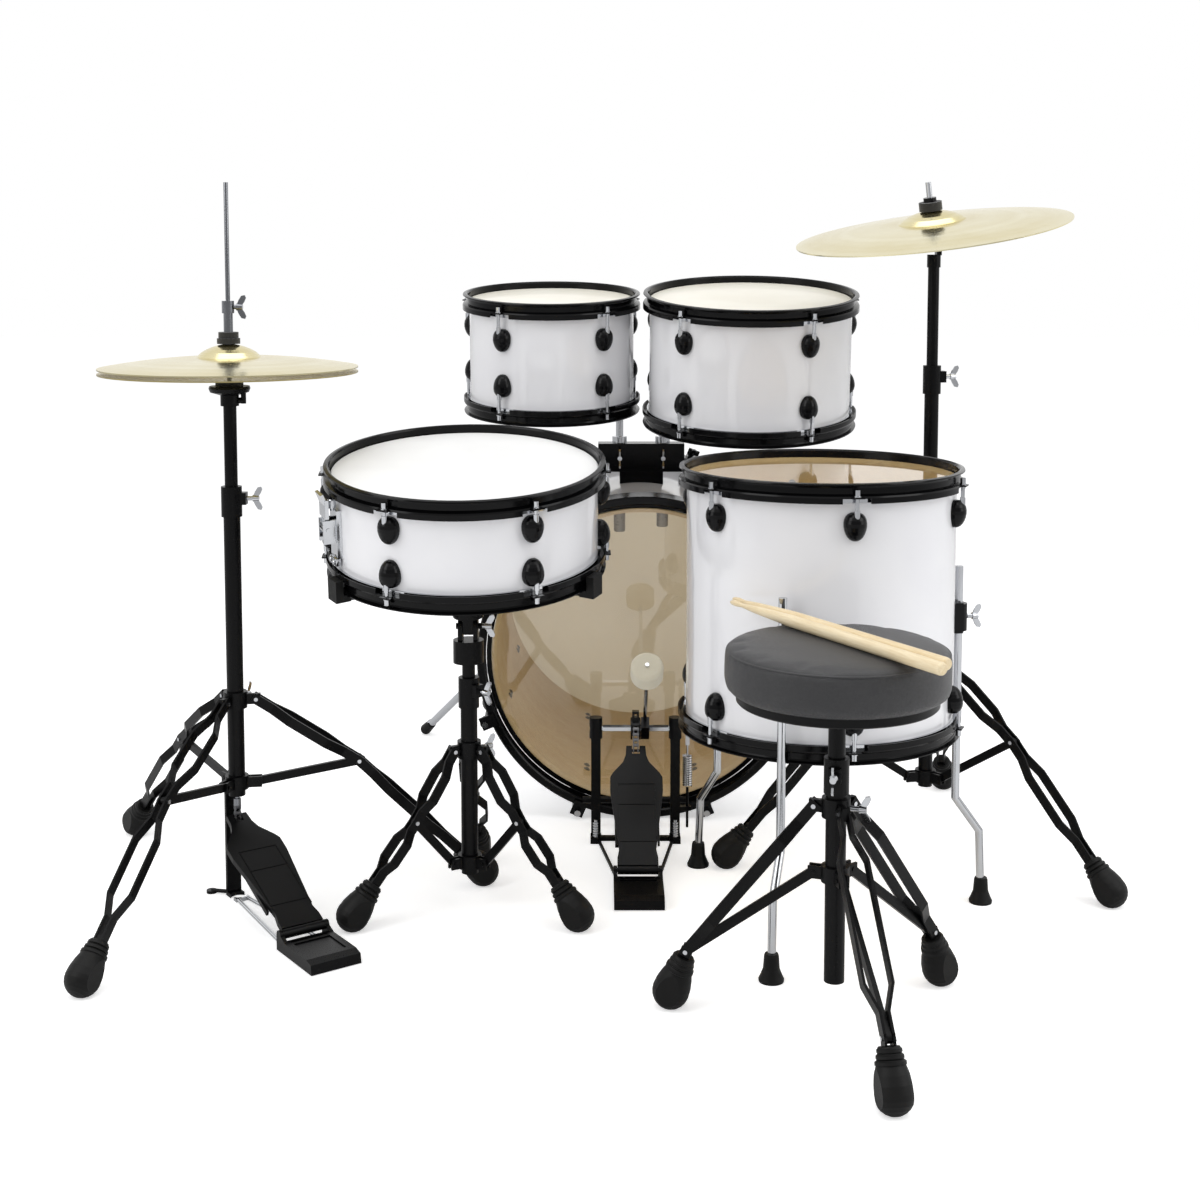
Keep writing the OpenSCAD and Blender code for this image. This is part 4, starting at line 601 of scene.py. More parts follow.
def block(bm: bmesh.types.BMesh, size: tuple[float, float, float], place: Matrix,
          edge: float) -> None:
    """Adds a block with rounded edges.

    Args:
        bm: What the block is added to.
        size: Its size in millimetres.
        place: Where its middle is.
        edge: How far its edges are rounded, in millimetres.
    """
    part = bmesh.new()
    bmesh.ops.create_cube(part, size=1.0)
    bmesh.ops.scale(part, vec=Vector(size)*MM, verts=part.verts)
    bmesh.ops.bevel(part, geom=part.edges, offset=edge*MM, offset_type="OFFSET",
                    affect="EDGES", segments=2, profile=0.5, material=-1)
    join(bm, part, place)


def coil(bm: bmesh.types.BMesh, radius: float, wire: float, pitch: float, turns: float,
         place: Matrix) -> None:
    """Adds a closed helix of round wire that rises along a place's Z axis.

    Args:
        bm: What the coil is added to.
        radius: Its radius at the wire's middle, in millimetres.
        wire: The wire's radius in millimetres.
        pitch: Its rise for each turn, in millimetres.
        turns: How many turns it has.
        place: Where it starts.
    """
    part = bmesh.new()
    made = bmesh.ops.create_circle(part, cap_ends=True, cap_tris=False, segments=WIRE_SIDES,
                                   radius=wire*MM, matrix=shift(radius, 0, 0) @ turn(90, "X"))
    steps = round(COIL_STEPS*turns)
    bmesh.ops.spin(part, geom=made["verts"] + list(part.edges) + list(part.faces),
                   cent=(0, 0, 0), axis=(0, 0, 1), dvec=(0, 0, pitch*turns*MM/steps),
                   angle=2*math.pi*turns, steps=steps, use_merge=False,
                   use_normal_flip=False, use_duplicate=False)
    join(bm, part, place)


def screw(bm: bmesh.types.BMesh, place: Matrix) -> None:
    """Adds a pan-head screw on its washer, standing along the place's Z axis."""
    lathe(bm, PAN_HEAD, place, SCREW_STEPS)


def lug_screws(name: str, body: str, bore: Matrix, radius: float, turns: Sequence[float],
               heights: Sequence[float], gap: float) -> None:
    """Pan-head screws inside a shell, two for each lug, one above the other.

    Args:
        name: The piece's name.
        body: The body it moves with.
        bore: The drum's place, with Z along the shell.
        radius: The shell's outer radius in millimetres.
        turns: The angle of each row of lugs in degrees.
        heights: The height of each lug of a row, in that place.
        gap: How far each screw is above or below its lug's middle.
    """
    bm = bmesh.new()
    for degrees in turns:
        for height in heights:
            for offset in (-gap, gap):
                screw(bm, bore @ turn(degrees, "Z")
                      @ shift(radius - SHELL_WALL - SUNK, 0, height + offset) @ turn(-90, "Y"))
    mesh_object(name, bm, body, ZINC_STEEL)


# ---------- measures of meshes ----------
def vectors(items: bpy.types.bpy_prop_collection, name: str) -> np.ndarray:
    """Reads a vector of each vertex or polygon as rows of x, y, z.

    Args:
        items: A mesh's vertices or polygons.
        name: The vector's name.
    Returns:
        One row for each item.
    """
    values = np.empty(len(items)*3)
    items.foreach_get(name, values)
    return values.reshape(-1, 3)


def seen_from(points: np.ndarray, place: Matrix) -> np.ndarray:
    """Points in metres, given in a place's own axes and in millimetres."""
    inverse = np.array(place.inverted())
    return (points @ inverse[:3, :3].T + inverse[:3, 3])/MM


def reach(points: np.ndarray) -> np.ndarray:
    """Each point's distance from the Z axis."""
    return np.hypot(points[:, 0], points[:, 1])


def close(sizes: np.ndarray, size: float, give: float = 0.5) -> np.ndarray:
    """Which sizes are within a small give of a size."""
    return np.abs(sizes - size) < give


def wing_bolts(size: np.ndarray) -> np.ndarray:
    """Which loose parts are wing bolts, by their width across the wings."""
    return close(size[:, 2], 31.0, 0.4)


def rods(size: np.ndarray) -> np.ndarray:
    """Which loose parts of a lug node are its rods, screws and washers, by their width."""
    return np.maximum(size[:, 0], size[:, 1]) < 10.5


# ---------- paint on CAD nodes ----------
class Skin:
    """One CAD node's paint: a finish for the whole node, then rules for parts of it."""

    def __init__(self, node: str, finish: Finish) -> None:
        """Starts with one finish all over.

        Args:
            node: The CAD node's name.
            finish: The finish of all of it.
        """
        self.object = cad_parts[node]
        self.finishes = [finish]
        self.index = np.zeros(len(self.object.data.polygons), np.int32)

    def local(self, place: Matrix) -> np.ndarray:
        """Each polygon's centre in a place's own axes, in millimetres."""
        return seen_from(vectors(self.object.data.polygons, "center"), place)

    def islands(self, place: Matrix) -> np.ndarray:
        """Measures the loose part that each polygon belongs to.

        Args:
            place: The place whose axes it is measured along.
        Returns:
            For each polygon, its loose part's size in millimetres.
        """
        mesh = self.object.data
        points = vectors(mesh.vertices, "co")
        weld = 1e-5
        _, same = np.unique(np.round(points/weld).astype(np.int64), axis=0,
                            return_inverse=True)
        same = same.reshape(-1)
        starts = np.empty(len(mesh.polygons), np.int32)
        mesh.polygons.foreach_get("loop_start", starts)
        corners = np.empty(len(mesh.loops), np.int32)
        mesh.loops.foreach_get("vertex_index", corners)
        corners = same[corners]
        owner = np.repeat(np.arange(len(starts)), np.diff(np.append(starts, len(corners))))
        # Each point takes the lowest label that its faces hold, until none changes.
        label = np.arange(same.max() + 1)
        while True:
            lowest = np.full(len(starts), len(label))
            np.minimum.at(lowest, owner, label[corners])
            fresh = label.copy()
            np.minimum.at(fresh, corners, lowest[owner])
            fresh = fresh[fresh]
            if (fresh == label).all():
                break
            label = fresh
        part = label[corners[starts]]
        points = seen_from(points, place)
        size = np.zeros((len(starts), 3))
        for name in np.unique(part):
            mine = points[label[same] == name]
            size[part == name] = mine.max(axis=0) - mine.min(axis=0)
        return size

    def paint(self, finish: Finish, chosen: np.ndarray) -> "Skin":
        """Gives some of the polygons a finish.

        Args:
            finish: The finish.
            chosen: Which polygons take it.
        Returns:
            The skin itself, for the next rule.
        """
        if finish not in self.finishes:
            self.finishes.append(finish)
        self.index[chosen] = self.finishes.index(finish)
        return self

    def done(self) -> None:
        """Puts the finishes on the node."""
        mesh = self.object.data
        mesh.materials.clear()
        for finish in self.finishes:
            mesh.materials.append(finish.material())
        mesh.polygons.foreach_set("material_index", self.index)
        mesh.update()
        LOG.info("painted %s", self.object.name)


def paint_whole(finish: Finish, *nodes: str) -> None:
    """Gives whole CAD nodes one finish."""
    for node in nodes:
        Skin(node, finish).done()


# ---------- sub-assemblies ----------
class Head(Enum):
    """What a drum's batter head is made of."""

    WHITE = COATED_FILM
    CREAM = CREAM_FILM
    CLEAR = CLEAR_FILM


# Height of a hoop's rim over the shell's edge, the shells' wall, how deep under the lacquer
# the ply shows, and how far a screw's washer is pressed into the ply.
LIP = 11.5
SHELL_WALL = 7.0
PLY_DEPTH = 0.5
SUNK = 0.02
# Where the snare drum stands over the basket's hub, and its height with both hoops.
SNARE_SEAT, SNARE_HEIGHT = 82, 144
# The stands' axes on the floor.
HIHAT_AT = (-548, -208)
SNARE_AT = (-236, -236)
CRASH_AT = (405, -21)
THRONE_AT = (196, -606)
# The bass drum's batter edge with Z along the drum, the snare basket's hub, the upper edge
# of the snare drum in it, and the crash stand's tilter.
BASS = shift(0, 126.97, 250.809) @ turn(-87, "X")
BASKET = shift(*SNARE_AT, 376.782) @ turn(9, "X")
SNARE = BASKET @ shift(0, 0, SNARE_SEAT + SNARE_HEIGHT - LIP)
CRASH = shift(*CRASH_AT, 875) @ turn(-8, "Y") @ turn(7, "X")


@dataclass(frozen=True)
class Drum:
    """One drum, with its upper edge as its place and its sizes in millimetres.

    Its lugs are as many rows as lugs says, the first turned by first_lug degrees. Each row
    has a lug at inset from either edge, held by screws at screw_gap from its middle. The
    flesh hoops of its heads stand film_gap outside the shell.
    """

    name: str
    body: str
    place: Matrix
    diameter: float
    depth: float
    batter: Head
    lugs: int
    first_lug: float
    inset: float
    screw_gap: float = 6.5
    film_gap: float = 1.4

    def dress(self) -> None:
        """Paints the drum's nodes and adds what is fixed inside its shell."""
        radius = self.diameter/2
        shell = Skin(f"{self.name}_shell", LACQUER)
        shell.paint(MAPLE_PLY, reach(shell.local(self.place)) < radius - PLY_DEPTH).done()
        paint_whole(ENAMEL, f"{self.name}_hoops")
        heads = Skin(f"{self.name}_heads", self.batter.value)
        local = heads.local(self.place)
        heads.paint(CLEAR_FILM, local[:, 2] < -self.depth/2)
        heads.paint(CHROME, reach(local) > radius + self.film_gap).done()
        lugs = Skin(f"{self.name}_lugs", COATED_ZINC)
        size = lugs.islands(self.place)
        lugs.paint(CHROME, rods(size) | wing_bolts(size)).done()
        lug_screws(f"{self.name}_lug_screws", self.body, self.place, radius,
                   [self.first_lug + 360*i/self.lugs for i in range(self.lugs)],
                   (-self.inset, self.inset - self.depth), self.screw_gap)


@dataclass(frozen=True)
class BassDrum:
    """The bass drum on its spurs, with the tom mount and the tom arms on top.

    The arms go through the shell at spread to either side of the mount's own place. Their
    ends start end_gap under the shell's wall and are rounded by end_edge.
    """

    place: Matrix = field(default_factory=BASS.copy)
    diameter: float = 457.0
    depth: float = 406.0
    claws: int = 8
    lug_inset: float = 78.0
    screw_gap: float = 9.0
    film_gap: float = 1.2
    film_edge: float = 2.0
    spur_tip: float = 26.0
    mount: tuple[float, float, float] = (3.0, 350.7, 491.3)
    spread: float = 35.0
    arm_radius: float = 9.5
    arm_ends: tuple[float, float] = (79.0, 71.0)
    end_gap: float = 0.2
    end_edge: float = 1.5
    knuckle: float = 30.0

    def dress(self) -> None:
        """Paints the shell, the hoops, the heads, the claws, the spurs and the mount."""
        radius = self.diameter/2
        shell = Skin("bass_shell", LACQUER)
        shell.paint(BASS_PLY, reach(shell.local(self.place)) < radius - PLY_DEPTH).done()
        paint_whole(ENAMEL, "bass_hoops")
        heads = Skin("bass_heads", CLEAR_FILM)
        local = heads.local(self.place)
        heads.paint(FROSTED_FILM, (local[:, 2] > self.depth/2)
                    & (reach(local) < radius - self.film_edge))
        heads.paint(ENAMEL, reach(local) > radius + self.film_gap).done()
        claws = Skin("bass_claws", COATED_ZINC)
        claws.paint(CHROME, rods(claws.islands(self.place))).done()
        for side in ("left", "right"):
            spur = Skin(f"spur_{side}", CHROME)
            spur.paint(RUBBER, spur.local(HERE)[:, 2] < self.spur_tip).done()
        mount = Skin("tom_mount", COATED_ZINC)
        mount.paint(CHROME, wing_bolts(mount.islands(HERE))).done()
        for arm in ("tom1_arm", "tom2_arm"):
            skin = Skin(arm, CHROME)
            skin.paint(COATED_ZINC, close(skin.islands(HERE)[:, 1], self.knuckle, 1.0)).done()
        lug_screws("bass_lug_screws", "kit", self.place, radius,
                   [180/self.claws + 360*i/self.claws for i in range(self.claws)],
                   (self.lug_inset, self.depth - self.lug_inset), self.screw_gap)
        self.add_arm_ends()

    def add_arm_ends(self) -> None:
        """The tom arms' lower ends, which hang through the shell, with a rounded edge."""
        x, y, z = self.mount
        top = z - SHELL_WALL - self.end_gap
        r, edge = self.arm_radius, self.end_edge
        for arm, side, length in zip(("tom1_arm", "tom2_arm"), (-1, 1), self.arm_ends):
            bm = bmesh.new()
            low = top - length
            lathe(bm, [(0, low), (r - edge, low), (r, low + edge), (r, top), (0, top)],
                  shift(x + side*self.spread, y, 0), ROD_STEPS)
            # The ends take the darker plate: painted shade for their place inside the bass drum.
            mesh_object(f"{arm}_end", bm, arm, DULL_SHADED_PLATE)


@dataclass(frozen=True)
class FloorLegs:
    """The floor tom's three bent legs with their rubber tips."""

    count: int = 3
    tip: float = 34.5
    tip_width: float = 20.0
    tip_height: float = 60.0

    def dress(self) -> None:
        """Paints each leg chrome above its tip."""
        for i in range(1, self.count + 1):
            leg = Skin(f"floor_tom_leg_{i}", CHROME)
            size = leg.islands(HERE)
            leg.paint(RUBBER, (leg.local(HERE)[:, 2] < self.tip) & (size[:, 0] > self.tip_width)
                      & (size[:, 2] < self.tip_height)).done()


@dataclass(frozen=True)
class SnareFittings:
    """The snare drum's throw-off and butt plate, and the basket that holds the drum.

    The basket's rubber grips are the low parts beyond grip. The throw-off stands on the
    shell at strainer, as (turn, radius, height) from the drum's upper edge. The knob and
    the clamp are placed from there, outwards and up or down, and the clamp's screws
    outwards and to either side.
    """

    grip: tuple[float, float] = (170.0, 72.0)
    grip_height: float = 30.0
    strainer: tuple[float, float, float] = (205.0, 169.5, -60.5)
    knob_out: float = 7.2
    knob_up: float = 37.3
    knob_radius: float = 5.2
    ribs: int = 18
    rib: tuple[float, float, float] = (1.2, 0.9, 9.0)
    clamp: tuple[float, float, float] = (7.0, 24.0, 10.0)
    clamp_out: float = 4.8
    clamp_down: float = 37.2
    clamp_screws: tuple[float, float] = (8.3, 7.0)

    def dress(self) -> None:
        """Paints the strainer, its lever, the post and the basket."""
        paint_whole(CHROME, "snare_strainer", "strainer_lever")
        paint_whole(POWDER_COAT, "snare_post")
        basket = Skin("snare_basket", POWDER_COAT)
        size = basket.islands(BASKET)
        local = basket.local(BASKET)
        grips = (reach(local) > self.grip[0]) & (local[:, 2] > self.grip[1])
        basket.paint(RUBBER, grips & (size[:, 2] < self.grip_height))
        basket.paint(CHROME, wing_bolts(size)).done()
        self.add_tuner()

    def add_tuner(self) -> None:
        """The throw-off's ribbed tuning knob, and the clamp that holds the wires' strap."""
        degrees, radius, height = self.strainer
        place = SNARE @ turn(degrees, "Z") @ shift(radius, 0, height)
        r = self.knob_radius
        bm = bmesh.new()
        lathe(bm, [(0, 28), (2.6, 28), (2.6, 31.5), (r, 31.5), (r, 33), (r, 42), (4.4, 43),
                   (0, 43)], place @ shift(self.knob_out, 0, 0), KNOB_STEPS)
        for i in range(self.ribs):
            block(bm, self.rib, place @ shift(self.knob_out, 0, self.knob_up)
                  @ turn(360/self.ribs*i, "Z") @ shift(r, 0, 0), edge=0.3)
        block(bm, self.clamp, place @ shift(self.clamp_out, 0, -self.clamp_down), edge=0.8)
        out, aside = self.clamp_screws
        for side in (-aside, aside):
            screw(bm, place @ shift(out, side, -self.clamp_down) @ turn(90, "Y"))
        mesh_object("strainer_tuner", bm, "snare", CHROME)


@dataclass(frozen=True)
class Cymbal:
    """One cymbal, with its place's Z axis along its bore."""

    node: str
    place: Matrix
    colour: str = BRONZE.colour
    tone: str = BRONZE.tone

    def dress(self) -> None:
        """Gives the cymbal a turned finish about its own bore."""
        paint_whole(replace(BRONZE, name=f"{self.node}_bronze", colour=self.colour,
                            tone=self.tone, place=self.place), self.node)


@dataclass(frozen=True)
class Stand:
    """A tripod stand on its spot of the floor.

    Its legs' rivets are given as (radius, height) from the stand's axis, and first is the
    turn of its first leg. A rivet shows on both faces of a strip, between the two depths of
    rivet_face. The hi-hat's steel floor rods are the one long flat part of any stand.
    """

    name: str
    at: tuple[float, float]
    rivets: tuple[tuple[float, float], ...]
    first: float
    rivet_radius: float = 3.2
    rivet_face: tuple[float, float] = (6.6, 8.4)
    rod_height: float = 7.0
    rod_length: float = 120.0

    def dress(self) -> None:
        """Paints the tube with its wing bolts and the legs with their rivets."""
        tube = Skin(f"{self.name}_tube", POWDER_COAT)
        size = tube.islands(HERE)
        flat = (size[:, 2] < self.rod_height) & (reach(size) > self.rod_length)
        tube.paint(CHROME, wing_bolts(size) | flat).done()
        legs = Skin(f"{self.name}_legs", POWDER_COAT)
        inner, outer = self.rivet_face
        for i in range(3):
            local = legs.local(shift(*self.at, 0) @ turn(self.first + 120*i, "Z"))
            depth = np.abs(local[:, 1])
            for radius, height in self.rivets:
                near = np.hypot(local[:, 0] - radius, local[:, 2] - height) < self.rivet_radius
                legs.paint(CHROME, near & (depth > inner) & (depth < outer))
        legs.done()


@dataclass(frozen=True)
class HiHat:
    """The hi-hat's rod with its clutch, its upper tube with the seat, and its pedal.

    Felts and screws are told apart from the metal parts by their widths and heights.
    """

    felt_width: float = 20.0
    felt_height: float = 12.0
    seat_felt: float = 36.0
    seat_felt_height: float = 6.0
    screw_width: float = 16.0

    def dress(self) -> None:
        """Paints each of its nodes."""
        rod = Skin("hihat_rod", STEEL_ROD)
        size = rod.islands(HERE)
        rod.paint(DARK_FELT, (size[:, 0] > self.felt_width)
                  & (size[:, 2] < self.felt_height)).done()
        upper = Skin("hihat_upper_tube", POWDER_COAT)
        size = upper.islands(HERE)
        upper.paint(DARK_FELT, close(size[:, 0], self.seat_felt)
                    & (size[:, 2] < self.seat_felt_height))
        upper.paint(CHROME, size[:, 0] < self.screw_width).done()
        paint_whole(MOULDED_ABS, "hihat_footboard")
        paint_whole(ZINC_STEEL, "hihat_chain")


@dataclass(frozen=True)
class CrashTop:
    """The crash stand's upper post and the tilter with its felts and the nut on top."""

    felt_widths: tuple[float, float] = (26.0, 34.0)
    felt_height: float = 14.0
    nut: float = 18.0
    nut_height: float = 8.0

    def dress(self) -> None:
        """Paints the post, the stem, the felts and the nut."""
        paint_whole(POWDER_COAT, "crash_post")
        tilter = Skin("crash_tilter", CHROME)
        size = tilter.islands(CRASH)
        least, most = self.felt_widths
        tilter.paint(DARK_FELT, (size[:, 0] > least) & (size[:, 0] < most)
                     & (size[:, 2] < self.felt_height))
        tilter.paint(COATED_ZINC, close(size[:, 0], self.nut)
                     & (size[:, 2] < self.nut_height)).done()


@dataclass(frozen=True)
class BassPedal:
    """The bass drum's pedal: frame, footboard, axle, beater, chain and return spring.

    The spring hangs at spring, as its axis and its lower end. The link over it is a small
    bar at link_up over that end.
    """

    spring: tuple[float, float, float] = (64.0, 20.0, 82.0)
    link: tuple[float, float, float] = (12.0, 3.0, 3.0)
    link_up: float = 45.6
    screw_thread: float = 8.8
    rod_width: float = 5.0
    rod_length: float = 40.0
    cam_width: tuple[float, float] = (11.5, 15.0)
    cam_height: float = 30.0
    beater_rod: float = 16.0

    def dress(self) -> None:
        """Paints the pedal and winds its spring."""
        posts = Skin("pedal_frame", POWDER_COAT)
        size = posts.islands(HERE)
        rod = (size[:, 0] < self.rod_width) & (size[:, 2] > self.rod_length)
        posts.paint(CHROME, close(size[:, 0], self.screw_thread) | rod).done()
        paint_whole(MOULDED_ABS, "pedal_footboard")
        axle = Skin("pedal_axle", CHROME)
        size = axle.islands(HERE)
        least, most = self.cam_width
        axle.paint(COATED_ZINC, (size[:, 0] > least) & (size[:, 0] < most)
                   & (size[:, 1] > self.cam_height)).done()
        beater = Skin("pedal_beater", FELT)
        beater.paint(STEEL_ROD, beater.islands(HERE).max(axis=1) < self.beater_rod).done()
        paint_whole(ZINC_STEEL, "pedal_chain")
        paint_whole(CHROME, "pedal_spring")
        self.add_spring()

    def add_spring(self) -> None:
        """A wound coil with a hook, in place of the frame's plain rings."""
        bm = bmesh.new()
        place = shift(*self.spring)
        coil(bm, radius=6.0, wire=1.3, pitch=3.4, turns=13.5, place=place)
        lathe(bm, [(0, 44), (1.5, 44), (1.5, 61.4), (0, 61.4)], place, HOOK_STEPS)
        block(bm, self.link, place @ shift(0, 0, self.link_up), edge=0.8)
        spring = mesh_object("return_spring", bm, "kit", CHROME)
        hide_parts("pedal_spring")


@dataclass(frozen=True)
class Throne:
    """The round seat on its post: a padded top on a board, with a hub under it.

    Lengths are in millimetres, but the pad's voxels and the cap on its swelling are in
    metres. The pad starts smaller than the seat by room, at its side and its bottom, and
    swells to between lowest and highest, from the seat's own bottom and top. The piping
    runs at piping_down under the top and the hem at hem_up over the bottom, each on the
    pad's points within seam_band of that height. The board is sunk into the pad, and a gap
    parts it from the hub.
    """

    radius: float = 126.0
    top: float = 440.0
    bottom: float = 384.0
    room: tuple[float, float] = (2.5, 0.6)
    lowest: float = 0.3
    highest: float = 0.2
    board: float = 10.0
    board_in: float = 15.0
    board_edge: float = 1.5
    sunk: float = 0.2
    gap: float = 0.1
    bore: float = 9.8
    hub: float = 26.0
    hub_radius: float = 17.0
    flange: float = 4.0
    flange_radius: float = 48.0
    hub_screws: int = 4
    hub_screw_out: float = 36.0
    voxel: float = 0.005
    cap: float = 0.0015
    pressure: float = 3.0
    tension: float = 40.0
    bending: float = 12.0
    frames: int = 20
    fill: float = 0.9
    piping_down: float = 9.0
    piping: float = 1.3
    hem_up: float = 2.4
    hem: float = 1.0
    seam_band: float = 3.0
    side_share: float = 0.8
    seam_percentile: float = 60.0

    def dress(self) -> None:
        """Paints the post and builds the seat in place of its plain solid."""
        paint_whole(POWDER_COAT, "throne_post")
        paint_whole(VINYL, "throne_seat")
        pad = self.add_pad()
        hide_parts("throne_seat")
        self.add_board()
        self.add_seams(pad)

    def add_pad(self) -> bpy.types.Object:
        """Turns the pad, swells it by air and holds it to the seat's own height.

        Returns:
            The finished pad.
        """
        bm = bmesh.new()
        side_room, bottom_room = self.room
        r, low, high = self.radius - side_room, self.bottom + bottom_room, self.top
        lathe(bm, [(0, low), (r - 7, low), (r - 3, low + 1.5), (r - 0.8, low + 6),
                   (r, low + 14), (r, high - 16), (r - 0.6, high - 10), (r - 3.2, high - 6),
                   (r - 9, high - 3.6), (r - 30, high - 2.4), (0, high - 1.2)],
              shift(*THRONE_AT, 0), SEAT_STEPS)
        pad = mesh_object("seat_pad", bm, "throne_seat", VINYL)
        self.swell(pad)
        return pad

    def swell(self, pad: bpy.types.Object) -> None:
        """Runs the cloth under pressure and keeps what it gives, within a small cap.

        Args:
            pad: The turned pad.
        """
        scene = bpy.context.scene
        remesh = pad.modifiers.new("even", "REMESH")
        remesh.mode = "VOXEL"
        remesh.voxel_size = self.voxel
        self.bake(pad)
        rest = vectors(pad.data.vertices, "co")
        cloth = pad.modifiers.new("air", "CLOTH")
        cloth.settings.use_pressure = True
        cloth.settings.uniform_pressure_force = self.pressure
        cloth.settings.effector_weights.gravity = 0.0
        cloth.settings.tension_stiffness = self.tension
        cloth.settings.bending_stiffness = self.bending
        for number in range(1, self.frames + 1):
            scene.frame_set(number)
        self.bake(pad)
        scene.frame_set(1)
        step = vectors(pad.data.vertices, "co") - rest
        length = np.linalg.norm(step, axis=1, keepdims=True)
        moved = rest + step*np.minimum(1.0, self.cap/np.maximum(length, 1e-9))
        moved[:, 2] = np.clip(moved[:, 2], (self.bottom + self.lowest)*MM,
                              (self.top + self.highest)*MM)
        pad.data.vertices.foreach_set("co", moved.reshape(-1))
        smooth = pad.modifiers.new("soft", "SUBSURF")
        smooth.levels = smooth.render_levels = 1
        self.bake(pad)
        pad.data.shade_smooth()
        LOG.info("seat pad swollen, %d faces", len(pad.data.polygons))

    @staticmethod
    def bake(piece: bpy.types.Object) -> None:
        """Applies a piece's modifiers to its mesh.

        Args:
            piece: The piece.
        """
        graph = bpy.context.evaluated_depsgraph_get()
        mesh = bpy.data.meshes.new_from_object(piece.evaluated_get(graph))
        piece.modifiers.clear()
        piece.data = mesh

    def add_board(self) -> None:
        """The board under the pad and the steel hub round the post."""
        at = shift(*THRONE_AT, 0)
        r, low, high = self.radius - self.board_in, self.bottom - self.board, self.bottom
        edge, inside = self.board_edge, high + self.sunk
        bm = bmesh.new()
        lathe(bm, [(0, low), (r - edge, low), (r, low + edge), (r, inside), (0, inside)],
              at, SEAT_STEPS)
        mesh_object("seat_board", bm, "throne_seat", MOULDED_ABS)
        bm = bmesh.new()
        base, under, face = low - self.hub - self.gap, low - self.flange, low - self.gap
        tube, plate = self.hub_radius, self.flange_radius
        lathe(bm, [(self.bore, base), (tube - 1, base), (tube, base + 1), (tube, under - 1),
                   (tube + 1.5, under), (plate - 1.5, under), (plate, under + 1),
                   (plate, face), (self.bore, face)], at, HUB_STEPS)
        for i in range(self.hub_screws):
            screw(bm, at @ turn(360/self.hub_screws*(i + 0.5), "Z")
                  @ shift(self.hub_screw_out, 0, under) @ turn(180, "X"))
        mesh_object("seat_hub", bm, "throne_seat", POWDER_COAT)

    def add_seams(self, pad: bpy.types.Object) -> None:
        """The piped seam round the top edge and the stapled hem under the pad.

        Both are laid on the pad as it is, half sunk into its side.

        Args:
            pad: The finished pad.
        """
        x, y = THRONE_AT
        points = vectors(pad.data.vertices, "co")/MM
        out = np.hypot(points[:, 0] - x, points[:, 1] - y)
        side = out > self.radius*self.side_share
        bm = bmesh.new()
        for height, size in ((self.top - self.piping_down, self.piping),
                             (self.bottom + self.hem_up, self.hem)):
            near = close(points[:, 2], height, self.seam_band) & side
            radius = float(np.percentile(out[near], self.seam_percentile)) - size/2
            ring = [(radius + size*math.cos(math.tau*i/WIRE_SIDES),
                     height + size*math.sin(math.tau*i/WIRE_SIDES)) for i in range(WIRE_SIDES)]
            lathe(bm, ring, shift(x, y, 0), PIPING_STEPS)
        mesh_object("seat_piping", bm, "throne_seat", VINYL)


@dataclass(frozen=True)
class Sticks:
    """The pair of drumsticks on the seat."""

    place: Matrix = field(default_factory=(shift(281, -758, 447.4) @ turn(119.4, "Z")).copy)

    def dress(self) -> None:
        """Paints both sticks with grain along their length."""
        paint_whole(replace(TURNED_MAPLE, place=self.place), "drumstick_1", "drumstick_2")


@dataclass(frozen=True)
class SoftBox:
    name: str
    at: tuple[float, float, float]
    size: tuple[float, float]
    power: float
    aim: tuple[float, float, float] = (0, 0, 0.45)

    def build(self) -> None:
        """Hangs the lamp."""
        data = bpy.data.lights.new(self.name, "AREA")
        data.shape = "RECTANGLE"
        data.size, data.size_y = self.size
        data.energy = self.power
        lamp = bpy.data.objects.new(self.name, data)
        lamp.location = self.at
        way = Vector(self.aim) - Vector(self.at)
        lamp.rotation_euler = way.to_track_quat("-Z", "Y").to_euler()
        bpy.context.scene.collection.objects.link(lamp)


